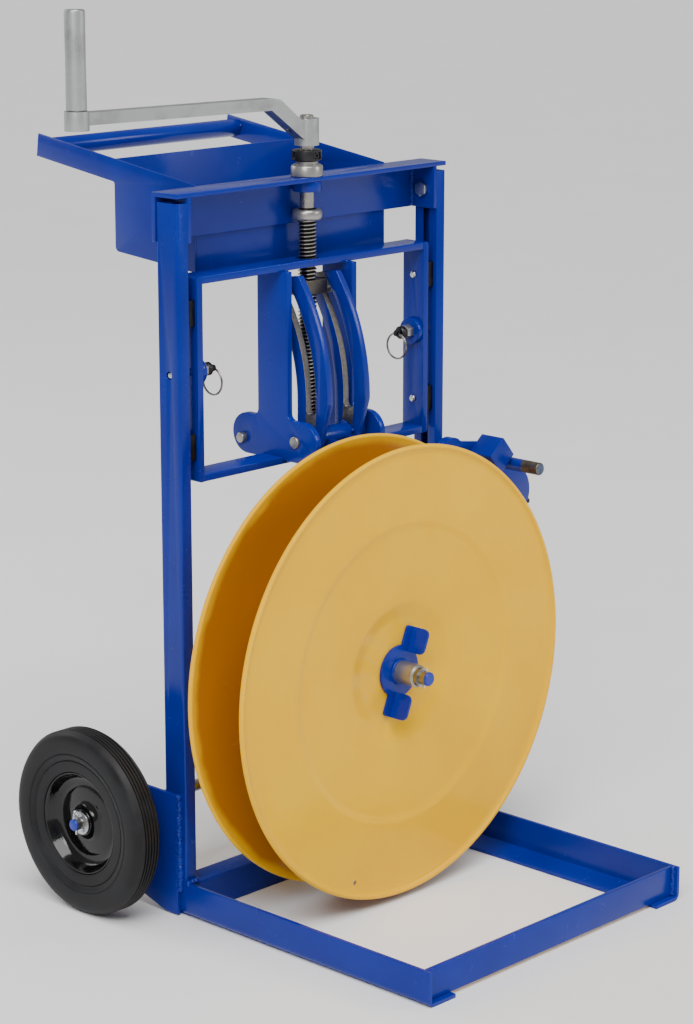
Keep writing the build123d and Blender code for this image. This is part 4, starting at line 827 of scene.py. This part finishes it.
def collar():
    """A one-piece clamp collar, notched for its clamp screws."""
    low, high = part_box("screw_collar")
    height = high[2] - low[2]
    body = lathe(closed([(0.0096, 0.0), (0.0192, 0.0), (0.0200, 0.0008), (0.0200, height - 0.0008),
                         (0.0192, height), (0.0096, height)]), (0, 0, low[2]), (0, 0, 1), 72)
    for turn in NOTCH_TURNS:
        deselect()
        bpy.ops.mesh.primitive_cube_add(size=1.0, location=(0, 0, 0))
        cutter = bpy.context.object
        cutter.dimensions = (0.010, 0.012, height * 0.62)
        cutter.location = Matrix.Rotation(math.radians(turn), 3, "Z") @ Vector((NOTCH_REACH, 0, 0))
        cutter.location.z = low[2] + height * 0.5
        cutter.rotation_euler = (0, 0, math.radians(turn))
        bpy.ops.object.transform_apply(location=True, rotation=True, scale=True)
        modify(body, "BOOLEAN", object=cutter, operation="DIFFERENCE", solver="EXACT")
        bpy.data.objects.remove(cutter)
    modify(body, "BEVEL", width=0.0004, segments=2, limit_method="ANGLE",
           angle_limit=math.radians(40))
    smooth(body, 35.0)
    finish_piece(body, "clamp_collar", "screw", "black_oxide", None, "screw_collar")


def crank():
    piece = eased_copy("crank_arm", 2.2, 4, 32.0)
    finish_piece(piece, "crank_casting", "screw", "cast_aluminium", None, "crank_arm")
    low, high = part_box("crank_grip")
    x = (low[0] + high[0]) / 2
    length = high[2] - low[2]
    grip = lathe(closed([(0.0063, 0.0), (0.0118, 0.0), (0.0128, 0.0012), (0.0130, 0.004),
                         (0.0127, length * 0.5), (0.0130, length - 0.004),
                         (0.0126, length - 0.0012), (0.0116, length), (0.0098, length),
                         (0.0098, length - 0.0085), (0.0063, length - 0.0087)]),
                 (x, 0, low[2]), (0, 0, 1), 64)
    smooth(grip, 30.0)
    finish_piece(grip, "crank_grip_sleeve", "grip", "cast_aluminium", None, "crank_grip")


# ---- small parts ------------------------------------------------------------------------
# How far outside its pull ring a plunger's bright tip begins.
PLUNGER_TIP = 0.030


def plungers():
    """The spring plungers: black bodies with bright tips, and their split pull rings."""
    for _, word in SIDES:
        low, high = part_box(word + "_pull_ring")
        centre = middle(word + "_pull_ring")
        mean = (high[1] - low[1]) / 2 - 0.0012
        coil = [(mean + 0.0012, 0.0), (mean + 0.0010, 0.0004), (mean + 0.0004, 0.0006),
                (mean - 0.0008, 0.0006), (mean - 0.0012, 0.0002), (mean - 0.0012, -0.0002),
                (mean - 0.0008, -0.0006), (mean + 0.0004, -0.0006), (mean + 0.0010, -0.0004)]
        coils = [lathe(closed([(radius, x + shift) for radius, x in coil]), centre, (1, 0, 0), 72)
                 for shift in (-0.00062, 0.00062)]
        ring = join(coils)
        smooth(ring, 50.0)
        finish_piece(ring, word + "_split_ring", word + "_ring", "zinc_steel", RING_STEEL,
                     word + "_pull_ring")
        pin = eased_copy(word + "_plunger", 0.5, 2)
        finish_piece(pin, word + "_plunger_shape", word + "_plunger", "black_oxide", None,
                     word + "_plunger")
        pin.data.materials.append(MATERIALS["zinc_steel"])
        for face in pin.data.polygons:
            if abs(face.center.x) > abs(centre[0]) + PLUNGER_TIP:
                face.material_index = 1
    ease(["plunger_barrels"], 0.5, 2)


def fasteners():
    ease(["crossbar_bolts", "guide_screws", "hanger_stop_pins", "pivot_shaft", "collar_set_screw",
          "crank_roll_pin", "grip_pin"], 0.35, 2)
    ease(["lift_nut", "trunnions"], 0.7, 2)
    ease(["guide_blocks"], 0.5, 2)


# ---- carried-over nodes, floor, light and camera ------------------------------------------
def dress_nodes():
    for name, node in frame["nodes"].items():
        node.data.materials.clear()
        node.data.materials.append(MATERIALS[SLOT_OF[name]])
    spindle = frame["nodes"]["spindle"]
    spindle.data.materials.clear()
    spindle.data.materials.append(SPINDLE_STEEL)


FLOOR_SIZE = 90.0
WORLD_LIGHT = 0.42
SUN_LIGHT, SUN_SPREAD, SUN_TURN = 2.6, 40.0, (24.0, -16.0, 0.0)
AIM = (0, -0.1, 0.55)
LAMPS = [("key_softbox", (-3.0, -1.6, 3.0), 1.6, 75.0),
         ("fill_softbox", (2.6, -3.4, 2.6), 1.4, 45.0),
         ("back_softbox", (-1.0, 3.6, 2.4), 2.0, 40.0)]


def studio():
    deselect()
    bpy.ops.mesh.primitive_plane_add(size=FLOOR_SIZE, location=(0, 0, 0))
    floor = bpy.context.object
    floor.name = "studio_floor"
    paint = Paint("pale_floor")
    tone = paint.noise(3.0, 2.0)
    paint.feed("Base Color", paint.blend(tone, rgb(0.86, 0.86, 0.86), rgb(0.90, 0.90, 0.90)))
    paint.feed("Roughness", tone * 0.1 + 0.55)
    floor.data.materials.append(paint.material)
    sun = bpy.data.lights.new("overhead_sky", "SUN")
    sun.energy, sun.angle = SUN_LIGHT, math.radians(SUN_SPREAD)
    sky = bpy.data.objects.new("overhead_sky", sun)
    sky.rotation_euler = [math.radians(turn) for turn in SUN_TURN]
    bpy.context.scene.collection.objects.link(sky)
    for name, place, size, power in LAMPS:
        light = bpy.data.lights.new(name, "AREA")
        light.size, light.energy = size, power
        lamp = bpy.data.objects.new(name, light)
        lamp.location = place
        aim = Vector(AIM) - Vector(place)
        lamp.rotation_euler = aim.to_track_quat("-Z", "Y").to_euler()
        bpy.context.scene.collection.objects.link(lamp)
    world = bpy.data.worlds.new("studio")
    world.use_nodes = True
    background = world.node_tree.nodes["Background"]
    background.inputs["Color"].default_value = rgb(1.0, 1.0, 1.0)
    background.inputs["Strength"].default_value = WORLD_LIGHT
    bpy.context.scene.world = world


CAMERA_PLACE = (-2.6729, -2.6334, 1.4294)
CAMERA_DROP, CAMERA_HEADING = 13.74, -46.23
CAMERA_LENS, CAMERA_SENSOR = 99.29, 36.0


def camera():
    data = bpy.data.cameras.new("camera")
    data.lens = CAMERA_LENS
    data.sensor_width = CAMERA_SENSOR
    view = bpy.data.objects.new("camera", data)
    view.location = CAMERA_PLACE
    view.rotation_euler = (math.radians(90.0 - CAMERA_DROP), 0.0, math.radians(CAMERA_HEADING))
    bpy.context.scene.collection.objects.link(view)
    bpy.context.scene.camera = view


dress_nodes()
steelwork()
weldments()
lever()
reel()
wing_nut()
wheels()
helix()
bearing_stack()
collar()
crank()
plungers()
fasteners()
studio()
camera()
